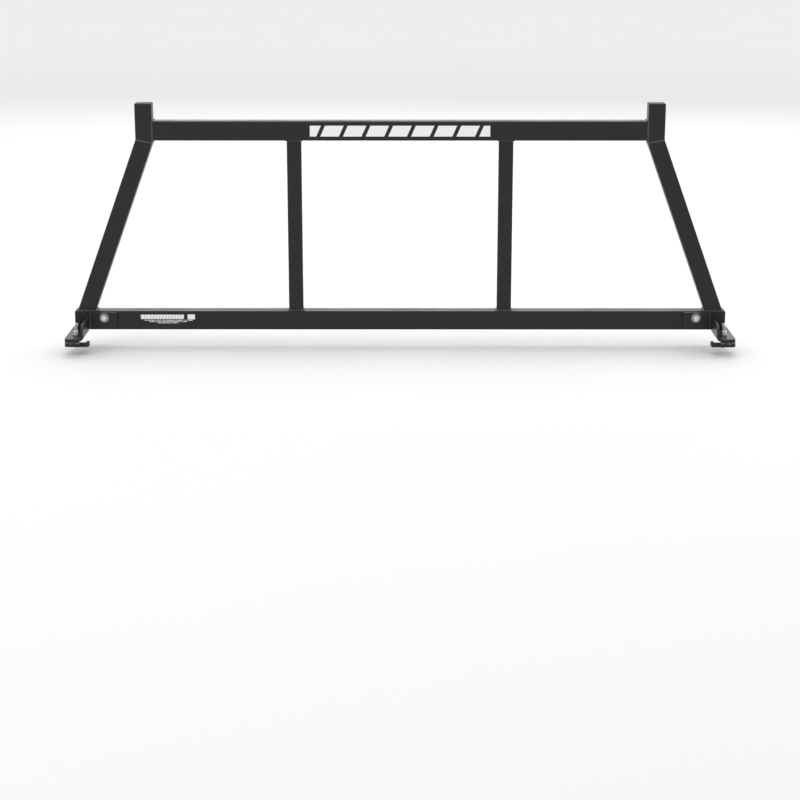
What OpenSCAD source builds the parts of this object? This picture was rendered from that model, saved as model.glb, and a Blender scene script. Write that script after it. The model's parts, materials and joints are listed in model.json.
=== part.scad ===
// Headache rack for a pickup bed: a welded tube frame on two bolted side brackets,
// each held to the bed rail by a clamp bolt that reaches down into the stake pocket.
// Origin: middle of the four bed-rail bolt holes, on the plane of the bed rails.
// +X is the truck's right, +Y points to the cab, +Z is up.

/* [Frame] */
// Length of the bottom rail's tube
base_w = 1728; // [1500:1:2100]
// Distance from the bottom rail's end to the foot of the leg
foot_inset = 5; // [0:0.5:40]
// Width across the outer faces of the two ears
top_w = 1379; // [1000:1:1480]
// Clear height between the two rails
window_h = 453; // [300:1:700]
// Height of the ear tubes above the top rail
ear_rise = 42.5; // [20:0.5:150]
// Height of the outer end of the mitre above the top rail's underside
mitre_rise = 2.3; // [0:0.1:8]
// Distance between the centre lines of the two inner posts
post_spacing = 554; // [200:1:900]

/* [Tubes] */
// Height of the two rails' tube
rail_h = 50.8; // [45:0.1:80]
// Front-to-back depth of the rails, legs and ears
tube_depth = 44.5; // [40:0.1:70]
// Width of the legs and ears as seen from behind
leg_face = 44.5; // [30:0.1:70]
// Width of the inner posts as seen from behind
post_w = 38.1; // [20:0.1:80]
// Front-to-back depth of the inner posts
post_depth = 25.4; // [20:0.1:40]
// Wall thickness of every tube
wall = 2.1; // [1.5:0.1:3.5]
// Outside radius of the tubes' long edges
corner_r = 5; // [4:0.1:8]

/* [Side brackets] */
// Thickness of the bracket plate
plate_t = 6.4; // [4:0.1:10]
// Inside radius of the bracket's bends
bend_r = 5; // [3:0.1:8]
// Distance from the bottom rail's end to the inner face of the web
bracket_inset = 36; // [25:0.5:80]
// Length of the web behind the rail
web_l = 112; // [94:1:220]
// Height of the web above the base flange
web_h = 36; // [26:0.5:48]
// Radius of the web's rear upper corner
web_corner_r = 20; // [5:0.5:24]
// Length over which the web's top slopes up to the tab
web_slope_l = 16; // [8:0.5:30]
// Width of the tab on the rail, from its inner edge to the web's inner face
tab_w = 75; // [60:0.5:120]
// Distance from the tab's top to the rail's top
tab_drop = 1.8; // [0.5:0.1:10]
// Radius of the corners of the tab and the base flange
plate_corner_r = 8; // [2:0.5:12]
// Thickness of the rubber pad under the base flange
pad_t = 3; // [1.5:0.1:6]

/* [Holes] */
// How much wider than its bolt every clearance hole is
hole_clearance = 1; // [0.5:0.1:3]
// Distance between the two free bolt holes in one base flange
hole_spacing = 70; // [60:1:140]
// Distance from the rear bolt hole to the rear end of the base flange
hole_margin = 15; // [12:0.5:40]
// Gap between the clamp's flat washer and the bend at the foot of the web
washer_side_gap = 0.4; // [0.2:0.1:10]
// Distance from the line of the holes to the base flange's outer edge
flange_margin = 25.5; // [16:0.5:50]
// End-to-end length of the adjusting slots
slot_l = 22; // [14:0.5:24]

/* [Fasteners] */
// Thread diameter of the bolts
bolt_d = 9.5; // [8:0.1:11.4]
// Width across flats of the hexagons
hex_af = 14.3; // [13:0.1:17]
// Height of the hexagon head
head_h = 6; // [4:0.1:8]
// Height of a plain nut
nut_h = 8.3; // [6:0.1:11]
// Height of the collar on a lock nut
lock_collar_h = 3.2; // [2:0.1:5]
// Outside diameter of the flat washers
washer_d = 25.4; // [20:0.1:28]
// Thickness of the flat washers
washer_t = 2; // [1.2:0.1:3]
// Thread that shows past a tightened lock nut
thread_show = 3.5; // [1:0.5:10]
// Distance of the rail bolts below the bottom rail's top
rail_bolt_drop = 16.8; // [15:0.1:25]
// Distance from the web's inner face to the rail bolt
rail_bolt_inset = 40.5; // [30:0.5:45]
// Wall thickness of the crush sleeves
sleeve_wall = 2.6; // [1.5:0.1:4]

/* [Clamps] */
// Space between the rubber pad and the clamp plate's jaws when tight
clamp_gap = 10; // [4:0.5:20]
// Distance that the clamp drops when its nut is unscrewed
clamp_travel = 15; // [5:0.5:30]
// Length of the clamp plate, across the bed rail
clamp_l = 64; // [45:0.5:90]
// Width of the clamp plate
clamp_w = 32; // [24:0.5:45]
// Thickness of the clamp plate's web
clamp_t = 6; // [4:0.1:10]
// Height of the two jaws above the clamp plate's web
jaw_h = 4; // [2:0.1:8]
// Length of each jaw
jaw_l = 9; // [5:0.5:14]
// Diameter of the clamp bolt's domed head
dome_d = 20.6; // [16:0.1:26]
// Height of the clamp bolt's domed head
dome_h = 5; // [3:0.1:7]
// Thickness of the split lock washer
lock_washer_t = 2.4; // [1.5:0.1:3.5]
// Outside diameter of the split lock washer
lock_washer_d = 17; // [15:0.1:20]
// Width of the split in the lock washer
split_gap = 1.2; // [0.5:0.1:3]

/* [Caps and labels] */
// Thickness of the flange on the plastic caps
cap_t = 3; // [1.5:0.1:6]
// Step between the edge of a cap and its raised middle
cap_step = 1; // [0.5:0.1:2]
// Length of a cap's plug inside the tube
plug_l = 16; // [8:0.5:30]
// Wall thickness of a cap's plug
plug_wall = 2; // [1:0.1:3]
// Length of the reflective strip on the top rail
strip_l = 472; // [100:1:900]
// Height of the reflective strip
strip_h = 31; // [15:0.5:34]
// Length of the label on the bottom rail
label_l = 162; // [60:1:250]
// Height of the label
label_h = 30; // [15:0.5:32]
// Distance between the label and the bracket's tab
label_gap = 54; // [5:1:200]
// Height of the label's middle above the middle of the rail
label_rise = 4; // [0:0.5:4]
// Thickness of the strip and the label
film_t = 0.4; // [0.2:0.1:1]
// Radius of the corners of the strip and the label
film_r = 3; // [1:0.1:6]

/* [Hidden] */
$fn = 64;

LEFT = -1;
RIGHT = 1;
SIDES = [LEFT, RIGHT];

// Clearance holes, and clearances between pieces that fit into each other
hole_d = bolt_d + hole_clearance;
thread_gap = 0.04;
sleeve_gap = 0.4;
plug_gap = 0.15;
neck_gap = 0.2;

// How far a cutting shape runs past what it cuts
past = 60;

// Heights, from the bed rail upwards
flange_z = pad_t;
rail_z = flange_z + plate_t;
rail_top_z = rail_z + rail_h;
top_rail_z = rail_top_z + window_h;
top_rail_top_z = top_rail_z + rail_h;
ear_top_z = top_rail_top_z + ear_rise;

// Places along the truck: the bolt holes lie evenly about the origin
flange_rear_y = -hole_spacing / 2 - hole_margin;
rail_rear_y = flange_rear_y + web_l;
rail_mid_y = rail_rear_y + tube_depth / 2;
rail_front_y = rail_rear_y + tube_depth;

// Places across the truck, on the right-hand side
foot_x = base_w / 2 - foot_inset;
ear_x = top_w / 2;
web_x = base_w / 2 - bracket_inset;
flat_x = web_x + bend_r + plate_t;
hole_x = flat_x + washer_d / 2 + washer_side_gap;
flange_x = hole_x + flange_margin;
rail_bolt_x = web_x - rail_bolt_inset;
tab_x = web_x - tab_w;
label_x = tab_x - label_gap - label_l / 2;

// The leg's outer line runs from the foot to the mitre, and the mitre halves the angle there
mitre_z = top_rail_z + mitre_rise;
lean = atan2(foot_x - ear_x, mitre_z - rail_top_z);
mitre_fall = leg_face * tan(lean / 2);
mitre_outer = [ear_x, mitre_z];
mitre_inner = [ear_x - leg_face, mitre_z - mitre_fall];
mitre_way = [cos(lean / 2), sin(lean / 2)];
leg_l = norm([foot_x - ear_x, mitre_z - rail_top_z]);

// Bends of the bracket
outer_bend_r = bend_r + plate_t;
flat_z = flange_z + outer_bend_r;
web_front_y = rail_rear_y - outer_bend_r;
tab_top_z = rail_top_z - tab_drop;
web_top_z = rail_z + web_h;

// The stack on the clamp bolt
stack_z = rail_z + washer_t + lock_washer_t;
stud_top_z = stack_z + nut_h + clamp_travel + thread_show;
jaw_z = -clamp_gap;
clamp_z = jaw_z - jaw_h - clamp_t;

// The stack on the rail bolt
rail_bolt_z = rail_top_z - rail_bolt_drop;
rail_head_y = rail_rear_y - plate_t - washer_t;
rail_nut_y = rail_front_y + washer_t;
rail_bolt_end_y = rail_nut_y + nut_h + lock_collar_h + thread_show;

// ---- helpers ----

// Draws its children as they are for the right side, and mirrored for the left
module on_side(side) {
    if (side == LEFT) {
        mirror([1, 0, 0]) children();
    } else {
        children();
    }
}

// Rectangle about the origin with rounded corners
module rounded_rect(w, h, r) {
    square([w - 2 * r, h], center = true);
    square([w, h - 2 * r], center = true);
    for (x = [-1, 1], y = [-1, 1]) {
        translate([x * (w / 2 - r), y * (h / 2 - r)]) circle(r);
    }
}

// Cross-section of a rectangular tube
module tube_section(w, h) {
    difference() {
        rounded_rect(w, h, corner_r);
        rounded_rect(w - 2 * wall, h - 2 * wall, corner_r - wall);
    }
}

// Slot about the origin, with its length along X
module slot(length, d) {
    square([length - d, d], center = true);
    for (x = [-1, 1]) {
        translate([x * (length - d) / 2, 0]) circle(d = d);
    }
}

// Quarter ring between two radii, in the corner where X and Y are negative
module quarter_ring(r_in, r_out) {
    intersection() {
        difference() {
            circle(r_out);
            circle(r_in);
        }
        translate([-r_out, -r_out]) square(r_out);
    }
}

// Turns an extrusion so that its drawing lies in XZ and it grows towards -Y
module upright() {
    rotate([90, 0, 0]) children();
}

// Lays an upright cylinder or prism along +Y
module along_y() {
    rotate([-90, 0, 0]) children();
}

// Lays a vertical tube along X, keeping its second direction vertical
module along_x() {
    rotate([90, 0, 90]) children();
}

// Hexagonal prism with flats wide enough for a spanner
module hexagon(h) {
    cylinder(h = h, r = hex_af / sqrt(3), $fn = 6);
}

// Flat ring
module ring(d_out, d_in, h) {
    difference() {
        cylinder(h = h, d = d_out);
        translate([0, 0, -past]) cylinder(h = h + 2 * past, d = d_in);
    }
}

// ---- welded frame ----

module frame_rail(length) {
    along_x() linear_extrude(length, center = true) tube_section(tube_depth, rail_h);
}

module top_rail() {
    color("#343434") translate([0, rail_mid_y, top_rail_z + rail_h / 2]) {
        frame_rail(2 * (ear_x - leg_face));
    }
}

module bottom_rail() {
    color("#262626") difference() {
        translate([0, rail_mid_y, rail_z + rail_h / 2]) frame_rail(base_w);
        for (side = SIDES) {
            translate([side * rail_bolt_x, rail_rear_y - past, rail_bolt_z]) {
                along_y() cylinder(h = tube_depth + 2 * past, d = hole_d);
            }
        }
    }
}

// The part of a tube on one side of the mitre: a region of XZ made thick enough to hold the tube
module region(points) {
    translate([0, rail_front_y + past, 0]) {
        upright() linear_extrude(tube_depth + 2 * past) polygon(points);
    }
}

module leg(side) {
    foot_inner_x = foot_x - leg_face / cos(lean);
    color("#303030") on_side(side) intersection() {
        translate([foot_x, rail_mid_y, rail_top_z]) rotate([0, -lean, 0]) {
            translate([-leg_face / 2, 0, -past]) {
                linear_extrude(leg_l + 2 * past) tube_section(leg_face, tube_depth);
            }
        }
        region([
            [foot_inner_x - past, rail_top_z],
            [foot_x + past, rail_top_z],
            mitre_outer + past * mitre_way,
            mitre_inner - past * mitre_way
        ]);
    }
}

module ear(side) {
    color("#343434") on_side(side) intersection() {
        translate([ear_x - leg_face / 2, rail_mid_y, mitre_z - past]) {
            linear_extrude(ear_top_z - mitre_z + past) tube_section(leg_face, tube_depth);
        }
        region([
            mitre_inner - past * mitre_way,
            mitre_outer + past * mitre_way,
            [ear_x + past, ear_top_z + past],
            [ear_x - leg_face - past, ear_top_z + past]
        ]);
    }
}

module post(side) {
    color("#2c2c2c") on_side(side) translate([post_spacing / 2, rail_mid_y, rail_top_z]) {
        linear_extrude(window_h) tube_section(post_w, post_depth);
    }
}

// ---- plastic caps ----

// A cap that closes a tube of w by h whose end is at Z = 0
module tube_cap(w, h) {
    inset = wall + plug_gap;
    linear_extrude(cap_t - cap_step) rounded_rect(w, h, corner_r);
    linear_extrude(cap_t) rounded_rect(w - 4 * cap_step, h - 4 * cap_step, corner_r - cap_step);
    translate([0, 0, -plug_l]) linear_extrude(plug_l) difference() {
        rounded_rect(w - 2 * inset, h - 2 * inset, corner_r - wall);
        rounded_rect(w - 2 * (inset + plug_wall), h - 2 * (inset + plug_wall), plug_wall);
    }
}

module ear_cap(side) {
    color("#1c1c1c") on_side(side) translate([ear_x - leg_face / 2, rail_mid_y, ear_top_z]) {
        tube_cap(leg_face, tube_depth);
    }
}

module rail_cap(side) {
    color("#1c1c1c") on_side(side) translate([base_w / 2, rail_mid_y, rail_z + rail_h / 2]) {
        along_x() tube_cap(tube_depth, rail_h);
    }
}

// ---- side brackets ----

// Outline of the base flange's flat part, which reaches forward under the rail's end
module flange_outline() {
    length_y = rail_front_y - flange_rear_y;
    length_x = flange_x - flat_x;
    difference() {
        union() {
            translate([flat_x + length_x / 2, flange_rear_y + length_y / 2]) {
                rounded_rect(length_x, length_y, plate_corner_r);
            }
            translate([flat_x, flange_rear_y]) square([plate_corner_r, length_y]);
        }
        for (y = [-1, 1]) {
            translate([hole_x, y * hole_spacing / 2]) circle(d = hole_d);
        }
        translate([hole_x, 0]) rotate(90) slot(slot_l, hole_d);
    }
}

// The web seen from the side, in YZ, with its rounded corner and the slope up to the tab
module web_outline() {
    corner_y = flange_rear_y + web_corner_r;
    corner_z = web_top_z - web_corner_r;
    polygon([
        [flange_rear_y, flat_z],
        [flange_rear_y, corner_z],
        [corner_y, corner_z],
        [corner_y, web_top_z],
        [web_front_y - web_slope_l, web_top_z],
        [web_front_y, tab_top_z],
        [web_front_y, flat_z]
    ]);
    intersection() {
        translate([corner_y, corner_z]) circle(web_corner_r);
        translate([flange_rear_y, corner_z]) square(web_corner_r);
    }
}

// The tab seen from behind, in XZ, with a slot that lets the bracket move along the rail
module tab_outline() {
    tab_h = tab_top_z - flat_z;
    flat_w = web_x - bend_r - tab_x;
    difference() {
        union() {
            translate([tab_x + flat_w / 2, flat_z + tab_h / 2]) {
                rounded_rect(flat_w, tab_h, plate_corner_r);
            }
            translate([tab_x + flat_w - plate_corner_r, flat_z]) square([plate_corner_r, tab_h]);
        }
        translate([rail_bolt_x, rail_bolt_z]) slot(slot_l, hole_d);
    }
}

module bracket(side) {
    web_flat_l = web_front_y - flange_rear_y;
    color("#202020") on_side(side) {
        translate([0, 0, flange_z]) linear_extrude(plate_t) flange_outline();
        translate([flat_x, web_front_y, flat_z]) {
            upright() linear_extrude(web_flat_l) quarter_ring(bend_r, outer_bend_r);
        }
        translate([web_x, 0, 0]) along_x() linear_extrude(plate_t) web_outline();
        translate([web_x - bend_r, web_front_y, flat_z]) {
            linear_extrude(tab_top_z - flat_z) rotate(180) quarter_ring(bend_r, outer_bend_r);
        }
        translate([0, rail_rear_y, 0]) upright() linear_extrude(plate_t) tab_outline();
    }
}

module pad(side) {
    color("#141414") on_side(side) linear_extrude(pad_t) flange_outline();
}

// ---- rail bolts ----

module at_rail_bolts(y) {
    for (side = SIDES) {
        translate([side * rail_bolt_x, y, rail_bolt_z]) along_y() children();
    }
}

module rail_bolts() {
    color("#c8c9cb") at_rail_bolts(rail_head_y - head_h) {
        hexagon(head_h);
        cylinder(h = rail_bolt_end_y - rail_head_y + head_h, d = bolt_d);
    }
}

module rail_washers() {
    color("#bfc0c2") {
        at_rail_bolts(rail_head_y) ring(washer_d, hole_d, washer_t);
        at_rail_bolts(rail_front_y) ring(washer_d, hole_d, washer_t);
    }
}

module rail_lock_nuts() {
    color("#bfc0c2") at_rail_bolts(rail_nut_y) difference() {
        union() {
            hexagon(nut_h);
            cylinder(h = nut_h + lock_collar_h, d = hex_af - 1);
        }
        translate([0, 0, -past]) cylinder(h = 3 * past, d = bolt_d + 2 * thread_gap);
    }
}

module crush_sleeves() {
    bore_d = bolt_d + 2 * sleeve_gap;
    color("#8d8f92") at_rail_bolts(rail_rear_y + wall) {
        ring(bore_d + 2 * sleeve_wall, bore_d, tube_depth - 2 * wall);
    }
}

// ---- bed rail clamps ----

module at_clamp(side, z) {
    on_side(side) translate([hole_x, 0, z]) children();
}

// Carriage bolt: a square neck keeps it from turning in the clamp plate
module clamp_bolt(side) {
    ball_r = (pow(dome_d / 2, 2) + pow(dome_h, 2)) / (2 * dome_h);
    color("#c8c9cb") {
        at_clamp(side, clamp_z) {
            cylinder(h = stud_top_z - clamp_z, d = bolt_d);
            translate([-bolt_d / 2, -bolt_d / 2, 0]) cube([bolt_d, bolt_d, clamp_t]);
            intersection() {
                translate([0, 0, ball_r - dome_h]) sphere(ball_r, $fn = 96);
                translate([0, 0, -dome_h]) cylinder(h = dome_h, d = dome_d + 2);
            }
        }
    }
}

// Short channel whose two jaws press up against the lips of the stake pocket
module clamp_plate(side) {
    neck_w = bolt_d + 2 * neck_gap;
    color("#26282a") at_clamp(side, clamp_z) difference() {
        union() {
            linear_extrude(clamp_t) rounded_rect(clamp_l, clamp_w, plate_corner_r);
            for (x = [-1, 1]) {
                translate([0, 0, clamp_t]) linear_extrude(jaw_h) intersection() {
                    rounded_rect(clamp_l, clamp_w, plate_corner_r);
                    translate([x * (clamp_l - jaw_l) / 2, 0]) square([jaw_l, clamp_w], center = true);
                }
            }
        }
        translate([-neck_w / 2, -neck_w / 2, -past]) cube([neck_w, neck_w, 2 * past]);
    }
}

module clamp_nut(side) {
    color("#bfc0c2") at_clamp(side, stack_z) difference() {
        hexagon(nut_h);
        translate([0, 0, -past]) cylinder(h = 2 * past, d = bolt_d + 2 * thread_gap);
    }
}

module clamp_washers() {
    color("#bfc0c2") for (side = SIDES) {
        at_clamp(side, rail_z) ring(washer_d, hole_d, washer_t);
    }
}

module clamp_lock_washers() {
    color("#8d8f92") for (side = SIDES) {
        at_clamp(side, rail_z + washer_t) difference() {
            ring(lock_washer_d, hole_d, lock_washer_t);
            translate([0, -split_gap / 2, -1]) cube([lock_washer_d, split_gap, lock_washer_t + 2]);
        }
    }
}

// ---- films on the rails ----

// Thin film on the rear face of a rail
module film(x, z, length, height) {
    translate([x, rail_rear_y, z]) {
        upright() linear_extrude(film_t) rounded_rect(length, height, film_r);
    }
}

module reflective_strip() {
    color("#e8e8e8") film(0, top_rail_z + rail_h / 2, strip_l, strip_h);
}

module rail_label() {
    color("#d5d5d5") film(-label_x, rail_z + rail_h / 2 + label_rise, label_l, label_h);
}

top_rail();
bottom_rail();
leg(LEFT);  // leg_left
leg(RIGHT);  // leg_right
ear(LEFT);  // ear_left
ear(RIGHT);  // ear_right
post(LEFT);  // post_left
post(RIGHT);  // post_right
ear_cap(LEFT);  // ear_cap_left
ear_cap(RIGHT);  // ear_cap_right
rail_cap(LEFT);  // rail_cap_left
rail_cap(RIGHT);  // rail_cap_right
bracket(LEFT);  // bracket_left
bracket(RIGHT);  // bracket_right
pad(LEFT);  // pad_left
pad(RIGHT);  // pad_right
rail_bolts();
rail_washers();
rail_lock_nuts();
crush_sleeves();
clamp_bolt(LEFT);  // clamp_bolt_left
clamp_bolt(RIGHT);  // clamp_bolt_right
clamp_plate(LEFT);  // clamp_plate_left
clamp_plate(RIGHT);  // clamp_plate_right
clamp_nut(LEFT);  // clamp_nut_left
clamp_nut(RIGHT);  // clamp_nut_right
clamp_washers();
clamp_lock_washers();
reflective_strip();
rail_label();
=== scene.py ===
import json
import logging
import math
from collections.abc import Iterable, Sequence
from dataclasses import dataclass, field
from enum import Enum

import bmesh
import bpy
from mathutils import Matrix, Vector

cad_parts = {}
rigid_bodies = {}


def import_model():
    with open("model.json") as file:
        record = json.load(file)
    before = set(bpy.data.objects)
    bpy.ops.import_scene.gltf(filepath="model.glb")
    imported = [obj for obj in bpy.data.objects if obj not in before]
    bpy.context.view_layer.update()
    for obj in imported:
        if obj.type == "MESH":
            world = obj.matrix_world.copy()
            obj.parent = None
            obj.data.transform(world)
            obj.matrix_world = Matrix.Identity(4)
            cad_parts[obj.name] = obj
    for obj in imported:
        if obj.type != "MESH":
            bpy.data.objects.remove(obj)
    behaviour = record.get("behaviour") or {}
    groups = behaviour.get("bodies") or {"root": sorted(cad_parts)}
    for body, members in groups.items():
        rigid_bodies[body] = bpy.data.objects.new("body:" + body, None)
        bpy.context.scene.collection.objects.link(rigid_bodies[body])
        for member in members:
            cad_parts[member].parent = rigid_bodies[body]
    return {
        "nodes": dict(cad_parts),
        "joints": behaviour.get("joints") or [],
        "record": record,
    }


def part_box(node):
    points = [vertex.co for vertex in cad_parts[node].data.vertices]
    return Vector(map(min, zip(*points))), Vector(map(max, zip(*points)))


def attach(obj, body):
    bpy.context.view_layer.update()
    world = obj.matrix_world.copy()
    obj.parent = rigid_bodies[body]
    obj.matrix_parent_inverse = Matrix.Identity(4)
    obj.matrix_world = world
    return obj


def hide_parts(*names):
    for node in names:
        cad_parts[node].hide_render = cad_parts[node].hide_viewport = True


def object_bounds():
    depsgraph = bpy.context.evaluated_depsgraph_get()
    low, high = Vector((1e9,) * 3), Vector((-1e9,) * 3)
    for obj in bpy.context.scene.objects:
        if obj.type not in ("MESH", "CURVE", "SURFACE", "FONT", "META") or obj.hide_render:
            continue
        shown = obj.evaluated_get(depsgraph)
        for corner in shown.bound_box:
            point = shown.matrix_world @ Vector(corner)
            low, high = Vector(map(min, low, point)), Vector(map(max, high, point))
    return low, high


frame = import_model()
CAD_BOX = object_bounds()

MM = 0.001
LOG = logging.getLogger("headache_rack")

# Name of the point attribute that says how hollow a spot lies; the zinc paints shade into it
HOLLOW = "hollow"
# Steps in each rounded corner of an outline, and the least radius that it keeps
CORNER_STEPS = 6
LEAST_RADIUS = 0.2 * MM
# Faces that meet at more than this stay sharp
SHARP_ANGLE = math.radians(34)
# How a CAD node's mesh is cleaned: points and faces that count as one, and edges to break
SAME_POINT = 0.004 * MM
SAME_PLANE = math.radians(0.4)
BROKEN_ANGLE = math.radians(40)

X_AXIS = Vector((1, 0, 0))
Y_AXIS = Vector((0, 1, 0))
Z_AXIS = Vector((0, 0, 1))

# Which way a piece's own Z points, as a turn about the origin
UPWARD = Matrix.Identity(4)
FORWARD = Matrix.Rotation(-math.pi / 2, 4, "X")
REARWARD = Matrix.Rotation(math.pi / 2, 4, "X")
OUTWARD = Matrix(((0, 0, 1, 0), (1, 0, 0, 0), (0, 1, 0, 0), (0, 0, 0, 1)))

Colour = tuple[float, float, float]
Point2 = tuple[float, float]
Loop = list[Vector]


# ---------------------------------------------------------------------------
# Named choices
# ---------------------------------------------------------------------------


class Side(Enum):
    """The two sides of the truck. The value is the sign of X."""

    LEFT = -1
    RIGHT = 1

    @property
    def word(self) -> str:
        """The side as it stands in node and body names."""
        return self.name.lower()

    def mirror(self, loops: Iterable[Loop]) -> list[Loop]:
        """Loops drawn for the right side, put on this side."""
        return [[Vector((self.value * p.x, p.y, p.z)) for p in loop] for loop in loops]


class Ends(Enum):
    """How a skin of loops is finished."""

    CLOSED = "flat faces fill the first and last loop"
    JOINED = "the last loop is joined to the first"


class Section(Enum):
    """Cross-sections of turned and forged pieces. The value is the number of flats."""

    ROUND = 0
    SQUARE = 4
    HEXAGON = 6

    def reach(self, half_width: float, angle: float) -> float:
        """Finds how far the surface lies from the axis.

        Args:
            half_width: Distance from the axis to a flat, or the radius.
            angle: Direction about the axis, in radians.

        Returns:
            The distance from the axis in that direction.
        """
        if self is Section.ROUND:
            return half_width
        step = math.tau / self.value
        first_corner = 0.0 if self is Section.HEXAGON else step / 2
        return half_width / math.cos((angle - first_corner) % step - step / 2)


class Input(Enum):
    """Kinds of input that a geometry tree takes."""

    SHAPE = "NodeSocketGeometry"
    NUMBER = "NodeSocketFloat"
    COUNT = "NodeSocketInt"
    VECTOR = "NodeSocketVector"
    MATERIAL = "NodeSocketMaterial"


# ---------------------------------------------------------------------------
# Node trees
# ---------------------------------------------------------------------------


class Wire:
    """One output of a node, with operators that add Math nodes to its tree."""

    def __init__(self, graph: "Graph", socket: bpy.types.NodeSocket) -> None:
        """Keeps the tree and the socket."""
        self.graph = graph
        self.socket = socket

    def maths(self, operation: str, *terms: "Wire | float") -> "Wire":
        """Adds one Math node.

        Args:
            operation: The Math node's operation.
            terms: Its inputs, in order.

        Returns:
            The node's result.
        """
        settings = {"operation": operation}
        return self.graph.add("ShaderNodeMath", settings, dict(enumerate(terms)))

    def __add__(self, other: "Wire | float") -> "Wire":
        """This value plus another."""
        return self.maths("ADD", self, other)

    def __radd__(self, other: float) -> "Wire":
        """A number plus this value."""
        return self.maths("ADD", other, self)

    def __sub__(self, other: "Wire | float") -> "Wire":
        """This value less another."""
        return self.maths("SUBTRACT", self, other)

    def __rsub__(self, other: float) -> "Wire":
        """A number less this value."""
        return self.maths("SUBTRACT", other, self)

    def __mul__(self, other: "Wire | float") -> "Wire":
        """This value times another."""
        return self.maths("MULTIPLY", self, other)

    def __rmul__(self, other: float) -> "Wire":
        """A number times this value."""
        return self.maths("MULTIPLY", other, self)

    def __truediv__(self, other: "Wire | float") -> "Wire":
        """This value divided by another."""
        return self.maths("DIVIDE", self, other)

    def __mod__(self, other: "Wire | float") -> "Wire":
        """What is left of this value after whole multiples, never negative."""
        return self.maths("FLOORED_MODULO", self, other)

    def __abs__(self) -> "Wire":
        """This value without its sign."""
        return self.maths("ABSOLUTE", self)

    def least(self, other: "Wire | float") -> "Wire":
        """The smaller of this value and another."""
        return self.maths("MINIMUM", self, other)

    def most(self, other: "Wire | float") -> "Wire":
        """The larger of this value and another."""
        return self.maths("MAXIMUM", self, other)

    def floor(self) -> "Wire":
        """The whole number at or below this value."""
        return self.maths("FLOOR", self)

    def above(self, limit: float) -> "Wire":
        """1 where this value is greater than the limit, and 0 elsewhere."""
        return self.maths("GREATER_THAN", self, limit)

    def sine(self) -> "Wire":
        """The sine of this value."""
        return self.maths("SINE", self)

    def ramp(self, low: float, high: float) -> "Wire":
        """Rises smoothly from 0 at low to 1 at high, and falls where low is the larger.

        Args:
            low: Value where the rise starts.
            high: Value where it ends.

        Returns:
            The height of the ramp, from 0 to 1.
        """
        if low > high:
            return 1 - self.ramp(high, low)
        settings = {"interpolation_type": "SMOOTHSTEP"}
        sockets = {"Value": self, "From Min": low, "From Max": high}
        return self.graph.add("ShaderNodeMapRange", settings, sockets)


class Graph:
    """Adds nodes to one shader or geometry tree."""

    def __init__(self, tree: bpy.types.NodeTree) -> None:
        """Keeps the tree."""
        self.tree = tree

    def place(
        self, kind: str, settings: dict | None = None, sockets: dict | None = None
    ) -> bpy.types.Node:
        """Adds one node.

        Args:
            kind: The node's type.
            settings: Its own settings, which are set first.
            sockets: Values or wires for its inputs, by name or number.

        Returns:
            The node.
        """
        node = self.tree.nodes.new(kind)
        for name, value in (settings or {}).items():
            setattr(node, name, value)
        for key, value in (sockets or {}).items():
            entry = node.inputs[key]
            if isinstance(value, Wire):
                self.tree.links.new(value.socket, entry)
            else:
                entry.default_value = value
        return node

    def add(
        self,
        kind: str,
        settings: dict | None = None,
        sockets: dict | None = None,
        output: str | int = 0,
    ) -> Wire:
        """Adds one node and returns one of its outputs, the first unless named."""
        return Wire(self, self.place(kind, settings, sockets).outputs[output])

    def split(self, vector: Wire) -> tuple[Wire, Wire, Wire]:
        """The three parts of a vector."""
        node = self.place("ShaderNodeSeparateXYZ", sockets={0: vector})
        return tuple(Wire(self, node.outputs[i]) for i in range(3))

    def vector(self, operation: str, *terms: "Wire | Sequence[float]", output: int = 0) -> Wire:
        """Adds one Vector Math node."""
        settings = {"operation": operation}
        return self.add("ShaderNodeVectorMath", settings, dict(enumerate(terms)), output)

    def scaled(self, vector: Wire, factor: Wire) -> Wire:
        """A vector made longer or shorter."""
        sockets = {0: vector, "Scale": factor}
        return self.add("ShaderNodeVectorMath", {"operation": "SCALE"}, sockets)

    def mix(self, factor: "Wire | float", low: "Wire | Colour", high: "Wire | Colour") -> Wire:
        """Mixes two colours, low at 0 and high at 1.

        Args:
            factor: Share of the second colour.
            low: The colour at 0.
            high: The colour at 1.

        Returns:
            The mixed colour.
        """
        ends = {
            socket: (*end, 1.0) if isinstance(end, tuple) else end
            for socket, end in ((6, low), (7, high))
        }
        return self.add("ShaderNodeMix", {"data_type": "RGBA"}, {0: factor, **ends}, output=2)


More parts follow.
